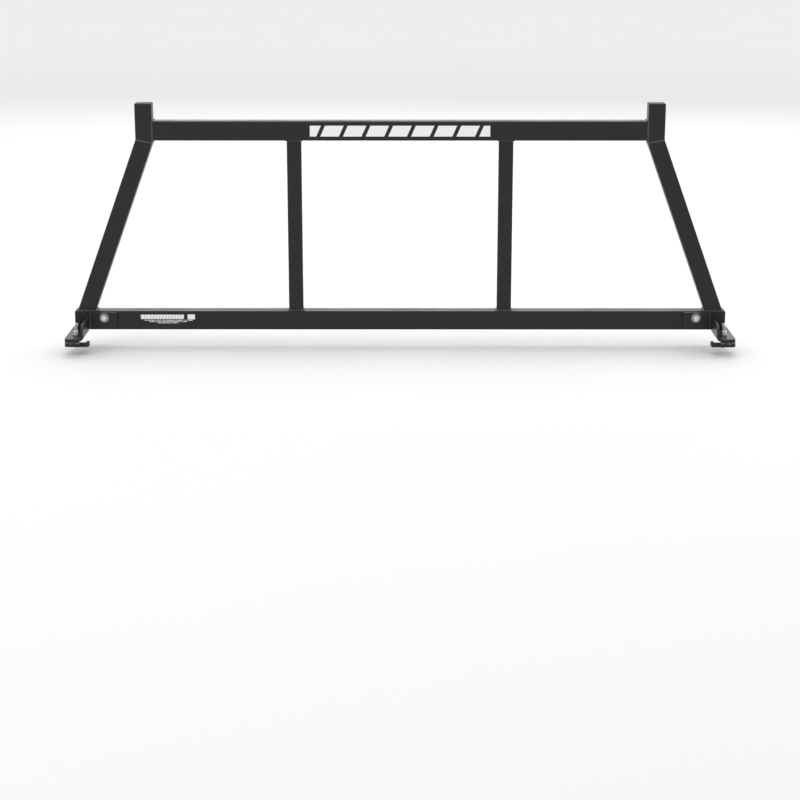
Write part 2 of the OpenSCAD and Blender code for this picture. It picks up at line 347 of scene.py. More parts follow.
class Paint(Graph):
    """The node tree of one material, built round a Principled shader."""

    def __init__(self, name: str) -> None:
        """Makes the material with its shader.

        Args:
            name: The material's name.
        """
        self.material = bpy.data.materials.new(name)
        self.material.use_nodes = True
        super().__init__(self.material.node_tree)
        self.shader = self.tree.nodes["Principled BSDF"]
        self.where = self.add("ShaderNodeTexCoord", output="Object")

    def set(self, **sockets: "Wire | float | Colour") -> None:
        """Sets the shader's inputs. A name's underscores stand for spaces.

        Args:
            sockets: A wire, number or colour for each input.
        """
        for name, value in sockets.items():
            entry = self.shader.inputs[name.replace("_", " ")]
            if isinstance(value, Wire):
                self.tree.links.new(value.socket, entry)
            elif isinstance(value, tuple):
                entry.default_value = (*value, 1.0)
            else:
                entry.default_value = value

    def noise(self, size: float, detail: float = 2.0, stretch: Colour | None = None) -> Wire:
        """Cloudy noise between 0 and 1.

        Args:
            size: Width of its features, in metres.
            detail: How many finer layers it has.
            stretch: How much the pattern is squeezed along each axis.

        Returns:
            The noise's value.
        """
        where = self.where
        if stretch is not None:
            where = self.vector("MULTIPLY", where, stretch)
        sockets = {"Vector": where, "Scale": 1 / size, "Detail": detail}
        return self.add("ShaderNodeTexNoise", sockets=sockets)

    def bump(self, height: Wire, depth: float) -> None:
        """Raises the surface by height, where 1 stands for depth in metres."""
        sockets = {"Height": height, "Distance": depth, "Strength": 1.0}
        self.set(Normal=self.add("ShaderNodeBump", sockets=sockets))

    def facing(self) -> tuple[Wire, Wire, Wire]:
        """The parts of the surface's own direction."""
        return self.split(self.add("ShaderNodeNewGeometry", output="Normal"))


# ---------------------------------------------------------------------------
# Finishes
# ---------------------------------------------------------------------------


@dataclass(frozen=True)
class PowderCoat:
    """Textured black powder coat on steel, a little paler on its edges: partly where the coat lies thin and
    wears, partly a painted highlight.
    """

    name: str
    colour: Colour
    thin_colour: Colour
    dust: Colour = (0.17, 0.165, 0.16)
    dust_share: float = 0.10
    roughness: float = 0.37
    gloss: float = 0.32
    peel: float = 2.1 * MM
    grain: float = 0.55 * MM
    peel_depth: float = 0.17 * MM
    grain_depth: float = 0.05 * MM
    cloud_size: float = 85 * MM
    wear_size: float = 30 * MM
    rub_size: float = 14 * MM

    def edges(self, paint: Paint) -> Wire:
        """How much a spot looks like a corner: 0 on flat sides, 1 on a rounded edge.

        Args:
            paint: The material's tree.

        Returns:
            The share of an edge in each spot.
        """
        across, back, up = paint.facing()
        squareness = abs(across).most(abs(back)).most(abs(up))
        return (1 - squareness).ramp(0.10, 0.27)

    def material(self) -> bpy.types.Material:
        """Builds the coat.

        Returns:
            The finished material.
        """
        paint = Paint(self.name)
        cloud = paint.noise(self.cloud_size, 4)
        peel = paint.noise(self.peel, 2)
        grain = paint.noise(self.grain, 1)
        _, _, up = paint.facing()
        # Edge mask, broken up by wear noise: partly edge wear, partly a painted highlight on rounded edges
        edge = self.edges(paint) * paint.noise(self.wear_size, 5).ramp(0.34, 0.66)
        rubbed = paint.noise(self.rub_size, 4, stretch=(0.25, 1.0, 1.0)).ramp(0.60, 0.78)
        # Paler for thin coat, rubbed wear and a painted highlight on edges
        thin = 0.75 * edge + 0.30 * cloud * peel + 0.22 * rubbed
        shade = paint.mix(thin.least(1.0), self.colour, self.thin_colour)
        settled = up.ramp(0.55, 0.95) * cloud.ramp(0.32, 0.72) * (0.3 + 0.7 * grain)
        paint.set(
            Base_Color=paint.mix(self.dust_share * settled, shade, self.dust),
            Roughness=self.roughness
            + 0.16 * (cloud - 0.5) + 0.10 * (peel - 0.5) + 0.12 * settled - 0.06 * edge,
            Specular_IOR_Level=self.gloss,
        )
        depth = self.peel_depth + self.grain_depth
        share = self.peel_depth / depth
        paint.bump(share * peel + (1 - share) * grain, depth)
        return paint.material


@dataclass(frozen=True)
class ZincPlate:
    """Bright zinc plate, with a faint rainbow, handling marks and painted shade in the hollows of its
    thread.
    """

    name: str = "bright_zinc"
    cool: Colour = (0.60, 0.615, 0.64)
    warm: Colour = (0.67, 0.655, 0.61)
    shadow: Colour = (0.10, 0.098, 0.095)
    roughness: float = 0.24
    cloud_size: float = 7 * MM
    speck_size: float = 0.5 * MM
    line_size: float = 1.2 * MM
    relief: float = 0.018 * MM

    def material(self) -> bpy.types.Material:
        """Builds the plate.

        Returns:
            The finished material.
        """
        paint = Paint(self.name)
        hollow = paint.add("ShaderNodeAttribute", {"attribute_name": HOLLOW}, output="Fac")
        cloud = paint.noise(self.cloud_size, 3)
        speck = paint.noise(self.speck_size, 2)
        lines = paint.noise(self.line_size, 2, stretch=(1.0, 9.0, 9.0))
        plate = paint.mix(cloud.ramp(0.35, 0.65), self.cool, self.warm)
        paint.set(
            # Painted shade: the shadow colour darkens the thread's hollows
            Base_Color=paint.mix(0.9 * hollow.ramp(0.10, 0.9), plate, self.shadow),
            Metallic=1.0,
            Roughness=self.roughness + 0.16 * (speck - 0.4) + 0.10 * lines + 0.2 * hollow,
        )
        paint.bump(0.5 * speck + 0.5 * lines, self.relief)
        return paint.material


@dataclass(frozen=True)
class MouldedPlastic:
    """Black moulded polyethylene with a fine spark-eroded grain."""

    name: str = "moulded_plastic"
    colour: Colour = (0.011, 0.011, 0.012)
    scuffed: Colour = (0.045, 0.045, 0.046)
    roughness: float = 0.50
    gloss: float = 0.42
    grain: float = 0.6 * MM
    scuff_size: float = 3 * MM
    relief: float = 0.03 * MM

    def material(self) -> bpy.types.Material:
        """Builds the plastic.

        Returns:
            The finished material.
        """
        paint = Paint(self.name)
        sockets = {"Vector": paint.where, "Scale": 1 / self.grain}
        pits = paint.add("ShaderNodeTexVoronoi", sockets=sockets, output="Distance")
        scuffs = paint.noise(self.scuff_size, 4, stretch=(1.0, 4.0, 1.0)).ramp(0.58, 0.75)
        paint.set(
            Base_Color=paint.mix(0.35 * scuffs, self.colour, self.scuffed),
            Roughness=self.roughness + 0.12 * pits + 0.08 * scuffs,
            Specular_IOR_Level=self.gloss,
        )
        paint.bump(pits, self.relief)
        return paint.material


@dataclass(frozen=True)
class SheetRubber:
    """Black sheet rubber with the fine cloth mark of its press and a little chalky bloom."""

    name: str = "sheet_rubber"
    colour: Colour = (0.012, 0.012, 0.012)
    bloom: Colour = (0.055, 0.054, 0.052)
    roughness: float = 0.82
    gloss: float = 0.35
    weave: float = 1.1 * MM
    bloom_size: float = 12 * MM
    grit_size: float = 0.7 * MM
    relief: float = 0.05 * MM

    def material(self) -> bpy.types.Material:
        """Builds the rubber.

        Returns:
            The finished material.
        """
        paint = Paint(self.name)
        across, along, _ = paint.split(paint.where)
        turns = math.tau / self.weave
        cloth = 0.5 + 0.25 * (turns * across).sine() + 0.25 * (turns * along).sine()
        chalk = paint.noise(self.bloom_size, 4).ramp(0.45, 0.75)
        paint.set(
            Base_Color=paint.mix(0.5 * chalk, self.colour, self.bloom),
            Roughness=self.roughness + 0.1 * (chalk - 0.5),
            Specular_IOR_Level=self.gloss,
        )
        paint.bump(0.6 * cloth + 0.4 * paint.noise(self.grit_size, 2), self.relief)
        return paint.material


@dataclass(frozen=True)
class ReflectiveFilm:
    """White reflective film: honeycomb cells under a clear face, with slanted dark gaps."""

    middle: Vector
    length: float
    height: float
    name: str = "retroreflective_film"
    white: Colour = (0.89, 0.90, 0.91)
    wall_colour: Colour = (0.48, 0.49, 0.51)
    dark: Colour = (0.006, 0.006, 0.0065)
    cell: float = 3.2 * MM
    cell_wall: float = 0.22 * MM
    blocks: int = 8
    gap: float = 11 * MM
    border: float = 1.6 * MM
    slant: float = 0.45
    soft: float = 0.2 * MM
    wall_soft: float = 0.1 * MM
    haze_size: float = 4 * MM
    relief: float = 0.02 * MM

    def honeycomb(self, paint: Paint, across: Wire, up: Wire) -> Wire:
        """Draws the walls between six-sided cells.

        Args:
            paint: The material's tree.
            across: Distance along the film, in metres.
            up: Distance up the film, in metres.

        Returns:
            1 on a cell's wall and 0 inside the cell.
        """
        row = self.cell * math.sqrt(3)
        nearest = None
        for shift in (0.0, 0.5):
            x = abs((across + shift * self.cell) % self.cell - self.cell / 2)
            z = abs((up + shift * row) % row - row / 2)
            reach = x.most(0.5 * x + math.sqrt(0.75) * z)
            nearest = reach if nearest is None else nearest.least(reach)
        rim = self.cell / 2 - self.cell_wall
        return nearest.ramp(rim - self.wall_soft, rim + self.wall_soft)

    def material(self) -> bpy.types.Material:
        """Builds the film.

        Returns:
            The finished material.
        """
        paint = Paint(self.name)
        across, _, up = paint.split(paint.vector("SUBTRACT", paint.where, tuple(self.middle)))
        pitch = self.length / self.blocks
        phase = abs((across - self.slant * up + pitch / 2) % pitch - pitch / 2)
        gap_starts = (pitch - self.gap) / 2
        gap = phase.ramp(gap_starts, gap_starts + self.soft)
        sides = (abs(across) + self.border).ramp(self.length / 2, self.length / 2 + self.soft)
        rims = (abs(up) + self.border).ramp(self.height / 2, self.height / 2 + self.soft)
        printed = gap.most(sides).most(rims)
        cells = self.honeycomb(paint, across, up)
        lit = paint.mix(0.8 * cells, self.white, self.wall_colour)
        paint.set(
            Base_Color=paint.mix(printed, lit, self.dark),
            Roughness=0.30 + 0.1 * paint.noise(self.haze_size, 3),
            Specular_IOR_Level=0.3,
            Coat_Weight=0.25,
            Coat_Roughness=0.12,
        )
        paint.bump(cells, self.relief)
        return paint.material


@dataclass(frozen=True)
class PrintedRow:
    """One row of a label, in shares of the label's half length and half height.

    The row is inked from left to right and low to high, in marks set a pitch apart in
    metres. A share of them is left out, as spaces are between words.
    """

    left: float
    right: float
    low: float
    high: float
    pitch: float
    fill: float
    skipped: float = 0.0
    slant: float = 0.0


LABEL_ROWS = (
    PrintedRow(-0.90, 0.52, 0.00, 0.80, 8.15 * MM, 0.90, slant=0.35),
    PrintedRow(0.64, 0.88, -0.06, 0.84, 40 * MM, 1.0),
    PrintedRow(-0.80, 0.80, -0.30, -0.14, 1.1 * MM, 0.70, skipped=0.16),
    PrintedRow(-0.62, 0.62, -0.54, -0.38, 1.1 * MM, 0.70, skipped=0.18),
    PrintedRow(-0.34, 0.34, -0.78, -0.62, 1.1 * MM, 0.70, skipped=0.14),
)


@dataclass(frozen=True)
class PrintedLabel:
    """Dark data label with pale marks where a maker would print words."""

    middle: Vector
    length: float
    height: float
    name: str = "printed_label"
    ground: Colour = (0.006, 0.006, 0.0065)
    ink: Colour = (0.86, 0.86, 0.86)
    soft: float = 0.12 * MM
    fade_size: float = 9 * MM
    haze_size: float = 6 * MM
    grain_size: float = 1.5 * MM
    relief: float = 0.02 * MM

    def band(self, distance: Wire, low: float, high: float) -> Wire:
        """1 where a distance lies between two limits, with soft ends.

        Args:
            distance: The distance, in metres.
            low: The lower limit.
            high: The upper limit.

        Returns:
            1 inside the limits and 0 outside.
        """
        reach = abs(distance - (low + high) / 2)
        half = (high - low) / 2
        return reach.ramp(half + self.soft, half - self.soft)

    def inked(self, across: Wire, up: Wire, row: PrintedRow) -> Wire:
        """Prints one row.

        Args:
            across: Distance along the label from its middle, in metres.
            up: Distance up the label from its middle, in metres.
            row: The row.

        Returns:
            1 on the row's ink and 0 off it.
        """
        half_l, half_h = self.length / 2, self.height / 2
        box = self.band(across, row.left * half_l, row.right * half_l)
        box = box * self.band(up, row.low * half_h, row.high * half_h)
        run = across - row.slant * up - row.left * half_l
        marks = self.band(run % row.pitch, -row.pitch * row.fill, row.pitch * row.fill)
        if row.skipped:
            place = (run / row.pitch).floor()
            chance = run.graph.add(
                "ShaderNodeTexWhiteNoise", {"noise_dimensions": "1D"}, {"W": place + 9.5 * row.low}
            )
            marks = marks * chance.above(row.skipped)
        return box * marks

    def material(self) -> bpy.types.Material:
        """Builds the label.

        Returns:
            The finished material.
        """
        paint = Paint(self.name)
        across, _, up = paint.split(paint.vector("SUBTRACT", paint.where, tuple(self.middle)))
        inked = None
        for row in LABEL_ROWS:
            printed = self.inked(across, up, row)
            inked = printed if inked is None else inked.most(printed)
        faded = paint.noise(self.fade_size, 4)
        paint.set(
            Base_Color=paint.mix(inked * (0.82 + 0.18 * faded), self.ground, self.ink),
            Roughness=0.34 + 0.12 * paint.noise(self.haze_size, 3) + 0.06 * inked,
            Specular_IOR_Level=0.3,
            Coat_Weight=0.1,
            Coat_Roughness=0.2,
        )
        paint.bump(0.5 * inked + 0.5 * paint.noise(self.grain_size, 2), self.relief)
        return paint.material


@dataclass(frozen=True)
class Nylon:
    """Off-white nylon of a lock nut's insert."""

    name: str = "nylon"
    colour: Colour = (0.55, 0.56, 0.52)
    shade: Colour = (0.40, 0.41, 0.37)
    roughness: float = 0.45
    cloud_size: float = 2 * MM
    relief: float = 0.02 * MM

    def material(self) -> bpy.types.Material:
        """Builds the nylon.

        Returns:
            The finished material.
        """
        paint = Paint(self.name)
        cloud = paint.noise(self.cloud_size, 3)
        paint.set(
            Base_Color=paint.mix(cloud, self.colour, self.shade),
            Roughness=self.roughness + 0.1 * cloud,
        )
        paint.bump(cloud, self.relief)
        return paint.material


@dataclass(frozen=True)
class StudioFloor:
    """Pale matt floor with a very faint mottle, painted darker near the middle, where the lamps' pool of
    light falls, and paler away from it.
    """

    name: str = "studio_floor"
    near: Colour = (0.80, 0.80, 0.80)
    far: Colour = (0.88, 0.88, 0.88)
    mottle: Colour = (0.76, 0.76, 0.76)
    mottle_size: float = 0.6
    roughness: float = 0.75
    lit_radius: float = 4.0
    plain_radius: float = 11.0

    def material(self) -> bpy.types.Material:
        """Builds the floor.

        Returns:
            The finished material.
        """
        paint = Paint(self.name)
        cloud = paint.noise(self.mottle_size, 3)
        away = paint.vector("LENGTH", paint.where, output=1)
        # Painted shade: darker within lit_radius to even out the lamps' pool of light
        pale = paint.mix(away.ramp(self.lit_radius, self.plain_radius), self.near, self.far)
        paint.set(
            Base_Color=paint.mix(0.12 * cloud, pale, self.mottle),
            Roughness=self.roughness + 0.1 * cloud,
            Specular_IOR_Level=0.2,
        )
        return paint.material


# ---------------------------------------------------------------------------
# Mesh work
# ---------------------------------------------------------------------------


@dataclass(frozen=True)
class Box:
    """The box of one CAD node."""

    low: Vector
    high: Vector

    @classmethod
    def of(cls, node: str) -> "Box":
        """The box of the node with that name."""
        return cls(*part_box(node))

    @property
    def middle(self) -> Vector:
        """The box's centre."""
        return (self.low + self.high) / 2

    @property
    def size(self) -> Vector:
        """The box's three sides."""
        return self.high - self.low


@dataclass
class Skin:
    """Points and faces of one or more closed solids, and how hollow each point lies."""

    points: list[Vector] = field(default_factory=list)
    faces: list[tuple[int, ...]] = field(default_factory=list)
    hollow: list[float] = field(default_factory=list)

    def wrap(
        self, loops: Sequence[Loop], ends: Ends, hollow: Sequence[Sequence[float]] = ()
    ) -> "Skin":
        """Adds a solid whose skin runs from loop to loop.

        Args:
            loops: Closed loops with the same number of points.
            ends: How the first and last loop are finished.
            hollow: For each loop, how hollow each of its points lies.

        Returns:
            This skin, so that calls can follow each other.
        """
        base, count = len(self.points), len(loops[0])
        for number, loop in enumerate(loops):
            self.points.extend(loop)
            self.hollow.extend(hollow[number] if hollow else [0.0] * count)
        last = len(loops) if ends is Ends.JOINED else len(loops) - 1
        for row in range(last):
            here, there = base + row * count, base + (row + 1) % len(loops) * count
            for i in range(count):
                j = (i + 1) % count
                self.faces.append((here + i, here + j, there + j, there + i))
        if ends is Ends.CLOSED:
            self.faces.append(tuple(base + i for i in reversed(range(count))))
            top = base + (len(loops) - 1) * count
            self.faces.append(tuple(top + i for i in range(count)))
        return self

    def mesh(self, name: str, placing: Matrix = UPWARD) -> bpy.types.Mesh:
        """Makes the mesh.

        Args:
            name: The mesh's name.
            placing: Where the skin goes.

        Returns:
            A mesh whose faces point outwards, smooth up to the sharp edges.
        """
        mesh = bpy.data.meshes.new(name)
        mesh.from_pydata([placing @ p for p in self.points], [], self.faces)
        if any(self.hollow):
            layer = mesh.attributes.new(HOLLOW, "FLOAT", "POINT")
            layer.data.foreach_set("value", self.hollow)
        return smoothed(mesh)


def smoothed(mesh: bpy.types.Mesh) -> bpy.types.Mesh:
    """Turns a mesh's faces outwards and shades them smooth up to the sharp edges.

    Args:
        mesh: A mesh of closed solids.

    Returns:
        The same mesh.
    """
    work = bmesh.new()
    work.from_mesh(mesh)
    bmesh.ops.recalc_face_normals(work, faces=work.faces)
    if work.calc_volume(signed=True) < 0:
        bmesh.ops.reverse_faces(work, faces=work.faces)
    work.to_mesh(mesh)
    work.free()
    mesh.polygons.foreach_set("use_smooth", [True] * len(mesh.polygons))
    mesh.set_sharp_from_angle(angle=SHARP_ANGLE)
    return mesh


def bolt_hole() -> float:
    """Finds the radius of every bolt hole.

    Returns:
        The radius that the record gives its bolt pattern, in metres.
    """
    pattern = next(m for m in frame["record"]["mounts"] if m["kind"] == "bolt_pattern")
    return pattern["dims"]["hole_r_mm"] * MM


def rounded_loop(width: float, height: float, radius: float) -> list[Point2]:
    """Outline of a rectangle with rounded corners, anticlockwise about the origin.

    Args:
        width: The rectangle's width.
        height: Its height.
        radius: Radius of its corners.

    Returns:
        The outline's points.
    """
    radius = max(radius, LEAST_RADIUS)
    outline = []
    for corner in range(4):
        right = 1 if corner in (0, 3) else -1
        top = 1 if corner in (0, 1) else -1
        for step in range(CORNER_STEPS + 1):
            angle = math.pi / 2 * (corner + step / CORNER_STEPS)
            outline.append((
                right * (width / 2 - radius) + radius * math.cos(angle),
                top * (height / 2 - radius) + radius * math.sin(angle),
            ))
    return outline


def stacked(width: float, height: float, radius: float, steps: Iterable[Point2]) -> list[Loop]:
    """Loops of a rounded rectangle that change as they rise.

    Args:
        width: Full width.
        height: Full height.
        radius: Radius of the full outline's corners.
        steps: Inset and level of each loop.

    Returns:
        The loops, about the origin, with the level along Z.
    """
    return [
        [
            Vector((x, y, level))
            for x, y in rounded_loop(width - 2 * inset, height - 2 * inset, radius - inset)
        ]
        for inset, level in steps
    ]


def eased(corners: Sequence[Point2], radius: float, steps: int = 3) -> list[Point2]:
    """Rounds the corners of a closed outline.

    Args:
        corners: The outline's corners.
        radius: How far from a corner the rounding starts.
        steps: Points in each rounding, less one.

    Returns:
        The outline's points.
    """
    outline = []
    for i, corner in enumerate(corners):
        here = Vector(corner)
        ends = []
        # On a short side the two roundings stop before they meet
        for other in (corners[i - 1], corners[(i + 1) % len(corners)]):
            way = Vector(other) - here
            ends.append(here + way.normalized() * min(radius, way.length / 2.2))
        for step in range(steps + 1):
            t = step / steps
            point = ends[0] * (1 - t) ** 2 + here * 2 * t * (1 - t) + ends[1] * t**2
            outline.append(tuple(point))
    return outline


@dataclass(frozen=True)
class Thread:
    """A helical groove cut into a round surface."""

    pitch: float
    depth: float = 0.62 * MM
    flank: float = 2.6
    crest: float = 0.18
    rings_per_turn: int = 8

    def cut(self, level: float, angle: float) -> float:
        """How much of the full depth is cut away at that height and direction."""
        turn = (level / self.pitch - angle / math.tau) % 1.0
        return min(1.0, max(0.0, self.flank * (0.5 - abs(turn - 0.5)) - self.crest))

    def levels(self, low: float, high: float) -> list[float]:
        """Heights of the rings that carry the groove."""
        count = max(2, round((high - low) / self.pitch * self.rings_per_turn))
        return [low + (high - low) * i / count for i in range(count + 1)]


@dataclass(frozen=True)
class Ring:
    """One ring of a turned or forged piece, across its own Z axis."""

    level: float
    half: float
    section: Section = Section.ROUND
    limit: float = math.inf
    thread: Thread | None = None
    share: float = 1.0

    def loop(self, steps: int) -> tuple[Loop, list[float]]:
        """Works out the ring's points.

        Args:
            steps: Number of points.

        Returns:
            The points, and how hollow each one lies.
        """
        points, hollow = [], []
        for i in range(steps):
            angle = math.tau * i / steps
            reach = min(self.section.reach(self.half, angle), self.limit)
            cut = self.thread.cut(self.level, angle) * self.share if self.thread else 0.0
            if self.thread:
                reach -= cut * self.thread.depth
            points.append(Vector((reach * math.cos(angle), reach * math.sin(angle), self.level)))
            hollow.append(abs(cut))
        return points, hollow


@dataclass(frozen=True)
class Turning:
    """A piece made of rings, closed at its ends or joined round a bore."""

    rings: tuple[Ring, ...]
    ends: Ends
    steps: int = 48

    def skin(self) -> Skin:
        """The piece's skin."""
        made = [ring.loop(self.steps) for ring in self.rings]
        return Skin().wrap([loop for loop, _ in made], self.ends, [h for _, h in made])


def flat_ring(bore: float, rim: float, thickness: float, edge: float) -> Turning:
    """A flat ring with eased edges, from its bore's and rim's radius.

    Args:
        bore: The bore's radius.
        rim: The rim's radius.
        thickness: The ring's thickness.
        edge: How far its edges are eased.

    Returns:
        The ring, standing on the origin.
    """
    corners = ((bore, 0.0), (rim, 0.0), (rim, thickness), (bore, thickness))
    outline = eased(corners, edge)
    return Turning(tuple(Ring(z, r) for r, z in outline), Ends.JOINED, steps=64)


def chamfer_rings(
    level: float, inward: float, half: float, face: float = 0.955, curve: float = 0.9, steps: int = 5
) -> list[Ring]:
    """Rings across a hexagon's turned end.

    Args:
        level: Height of the end face.
        inward: Height of the chamfer, negative below the end face.
        half: Half of the width across flats.
        face: The end face's radius, as a share of that.
        curve: How far the chamfer is from straight, which is 1.
        steps: Number of rings, less one.

    Returns:
        Rings from the end face inwards.
    """
    corner = half / math.cos(math.pi / 6)
    start = face * half
    return [
        Ring(
            level + inward * i / steps,
            half,
            Section.HEXAGON,
            limit=start + (corner - start) * (i / steps) ** curve,
        )
        for i in range(steps + 1)
    ]


def shown(name: str, mesh: bpy.types.Mesh, finish: bpy.types.Material | None = None) -> bpy.types.Object:
    """Puts a mesh in the scene as an object at the origin.

    Args:
        name: The object's name.
        mesh: Its mesh.
        finish: Its only material, when it is given.

    Returns:
        The object.
    """
    piece = bpy.data.objects.new(name, mesh)
    bpy.context.scene.collection.objects.link(piece)
    if finish is not None:
        mesh.materials.append(finish)
    return piece


def settle(piece: bpy.types.Object) -> bpy.types.Object:
    """Turns what a piece's modifiers make into its own mesh, and removes them.

    Args:
        piece: The piece.

    Returns:
        The same piece, with a plain mesh.
    """
    bpy.context.view_layer.update()
    evaluated = piece.evaluated_get(bpy.context.evaluated_depsgraph_get())
    mesh = bpy.data.meshes.new_from_object(evaluated)
    mesh.name = piece.name
    piece.modifiers.clear()
    piece.data = mesh
    return piece


def even(piece: bpy.types.Object) -> bpy.types.Object:
    """Keeps a piece's large faces flat to the light, so that only its edges look round.

    Args:
        piece: The piece.

    Returns:
        The same piece, with its normals set.
    """
    weighted = piece.modifiers.new("flat_faces", "WEIGHTED_NORMAL")
    weighted.keep_sharp = True
    return settle(piece)


def deliver(piece: bpy.types.Object, body: str, slot: str, *nodes: str) -> None:
    """Hands a finished piece to the frame.

    Args:
        piece: The piece, with its final mesh.
        body: The CAD body that it rides on.
        slot: The material slot of its finish. Not used.
        nodes: The CAD nodes that it stands for.
    """
    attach(piece, body)
    if nodes:
        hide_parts(*nodes)
    LOG.info("%s: %d faces on %s, for %s", piece.name, len(piece.data.polygons), body, nodes or "looks")


def pressed_copy(name: str, node: str, edge: float, finish: bpy.types.Material) -> bpy.types.Object:
    """Makes a piece of a CAD node's exact shape, with its edges broken.

    Args:
        name: The piece's name.
        node: The CAD node.
        edge: Width of the broken edges, in metres.
        finish: The piece's material.

    Returns:
        The piece.
    """
    mesh = bpy.data.meshes.new(name)
    work = bmesh.new()
    work.from_mesh(frame["nodes"][node].data)
    bmesh.ops.remove_doubles(work, verts=work.verts, dist=SAME_POINT)
    bmesh.ops.dissolve_limit(work, angle_limit=SAME_PLANE, verts=work.verts, edges=work.edges)
    work.to_mesh(mesh)
    work.free()
    piece = shown(name, mesh, finish)
    bevel = piece.modifiers.new("edges", "BEVEL")
    bevel.width = edge
    bevel.segments = 3
    bevel.limit_method = "ANGLE"
    bevel.angle_limit = BROKEN_ANGLE
    bevel.miter_outer = "MITER_ARC"
    settle(piece)
    smoothed(piece.data)
    return even(piece)


# ---------------------------------------------------------------------------
# Geometry trees
# ---------------------------------------------------------------------------


class GeometryTool:
    """A geometry tree with named inputs, and what runs it on a piece."""

    def __init__(self, name: str, **kinds: Input) -> None:
        """Makes the tree with its inputs, Shape first, and its output.

        Args:
            name: The tree's name.
            kinds: Kind of each other input. A name's underscores stand for spaces.
        """
        self.tree = bpy.data.node_groups.new(name, "GeometryNodeTree")
        self.graph = Graph(self.tree)
        self.ids: dict[str, str] = {}
        new_socket = self.tree.interface.new_socket
        for word, kind in {"Shape": Input.SHAPE, **kinds}.items():
            label = word.replace("_", " ")
            socket = new_socket(name=label, in_out="INPUT", socket_type=kind.value)
            self.ids[label] = socket.identifier
        new_socket(name="Result", in_out="OUTPUT", socket_type=Input.SHAPE.value)

    def inputs(self) -> dict[str, Wire]:
        """The tree's inputs, by name."""
        node = self.graph.place("NodeGroupInput")
        return {name: Wire(self.graph, node.outputs[name]) for name in self.ids}

    def end(self, geometry: Wire, finish: Wire) -> None:
        """Ends the tree in real, painted geometry.

        Args:
            geometry: What the tree made.
            finish: Its material.
        """
        real = self.graph.add("GeometryNodeRealizeInstances", sockets={"Geometry": geometry})
        painted = self.graph.add(
            "GeometryNodeSetMaterial", sockets={"Geometry": real, "Material": finish}
        )
        self.graph.place("NodeGroupOutput", sockets={"Result": painted})

    def run(self, piece: bpy.types.Object, **values: object) -> bpy.types.Object:
        """Runs the tree on a piece and keeps the result as its mesh.

        Args:
            piece: The piece, whose mesh is the tree's Shape.
            values: The tree's other inputs. A name's underscores stand for spaces.

        Returns:
            The piece, with no modifier left.
        """
        modifier = piece.modifiers.new(self.tree.name, "NODES")
        modifier.node_group = self.tree
        for name, value in values.items():
            modifier[self.ids[name.replace("_", " ")]] = value
        return settle(piece)


class PairedCopies(GeometryTool):
    """Sets copies of one fastener on both sides of the truck, each turned a little differently."""

    def __init__(self) -> None:
        """Builds the tree."""
        super().__init__(
            "paired_copies",
            First=Input.VECTOR,
            Across=Input.VECTOR,
            Along=Input.VECTOR,
            Rows=Input.COUNT,
            Axis=Input.VECTOR,
            Turn=Input.NUMBER,
            Seed=Input.COUNT,
            Finish=Input.MATERIAL,
        )
        given = self.inputs()
        add = self.graph.add
        pair = add(
            "GeometryNodeMeshLine",
            sockets={"Count": 2, "Start Location": given["First"], "Offset": given["Across"]},
        )
        row = add(
            "GeometryNodeMeshLine", sockets={"Count": given["Rows"], "Offset": given["Along"]}
        )
        spots = add("GeometryNodeInstanceOnPoints", sockets={"Points": pair, "Instance": row})
        spots = add("GeometryNodeRealizeInstances", sockets={"Geometry": spots})
        turn = add(
            "FunctionNodeRandomValue",
            {"data_type": "FLOAT"},
            {2: 0.0, 3: given["Turn"], "Seed": given["Seed"]},
            output=1,
        )
        turned = add(
            "FunctionNodeAxisAngleToRotation", sockets={"Axis": given["Axis"], "Angle": turn}
        )
        copies = add(
            "GeometryNodeInstanceOnPoints",
            sockets={"Points": spots, "Instance": given["Shape"], "Rotation": turned},
        )
        self.end(copies, given["Finish"])


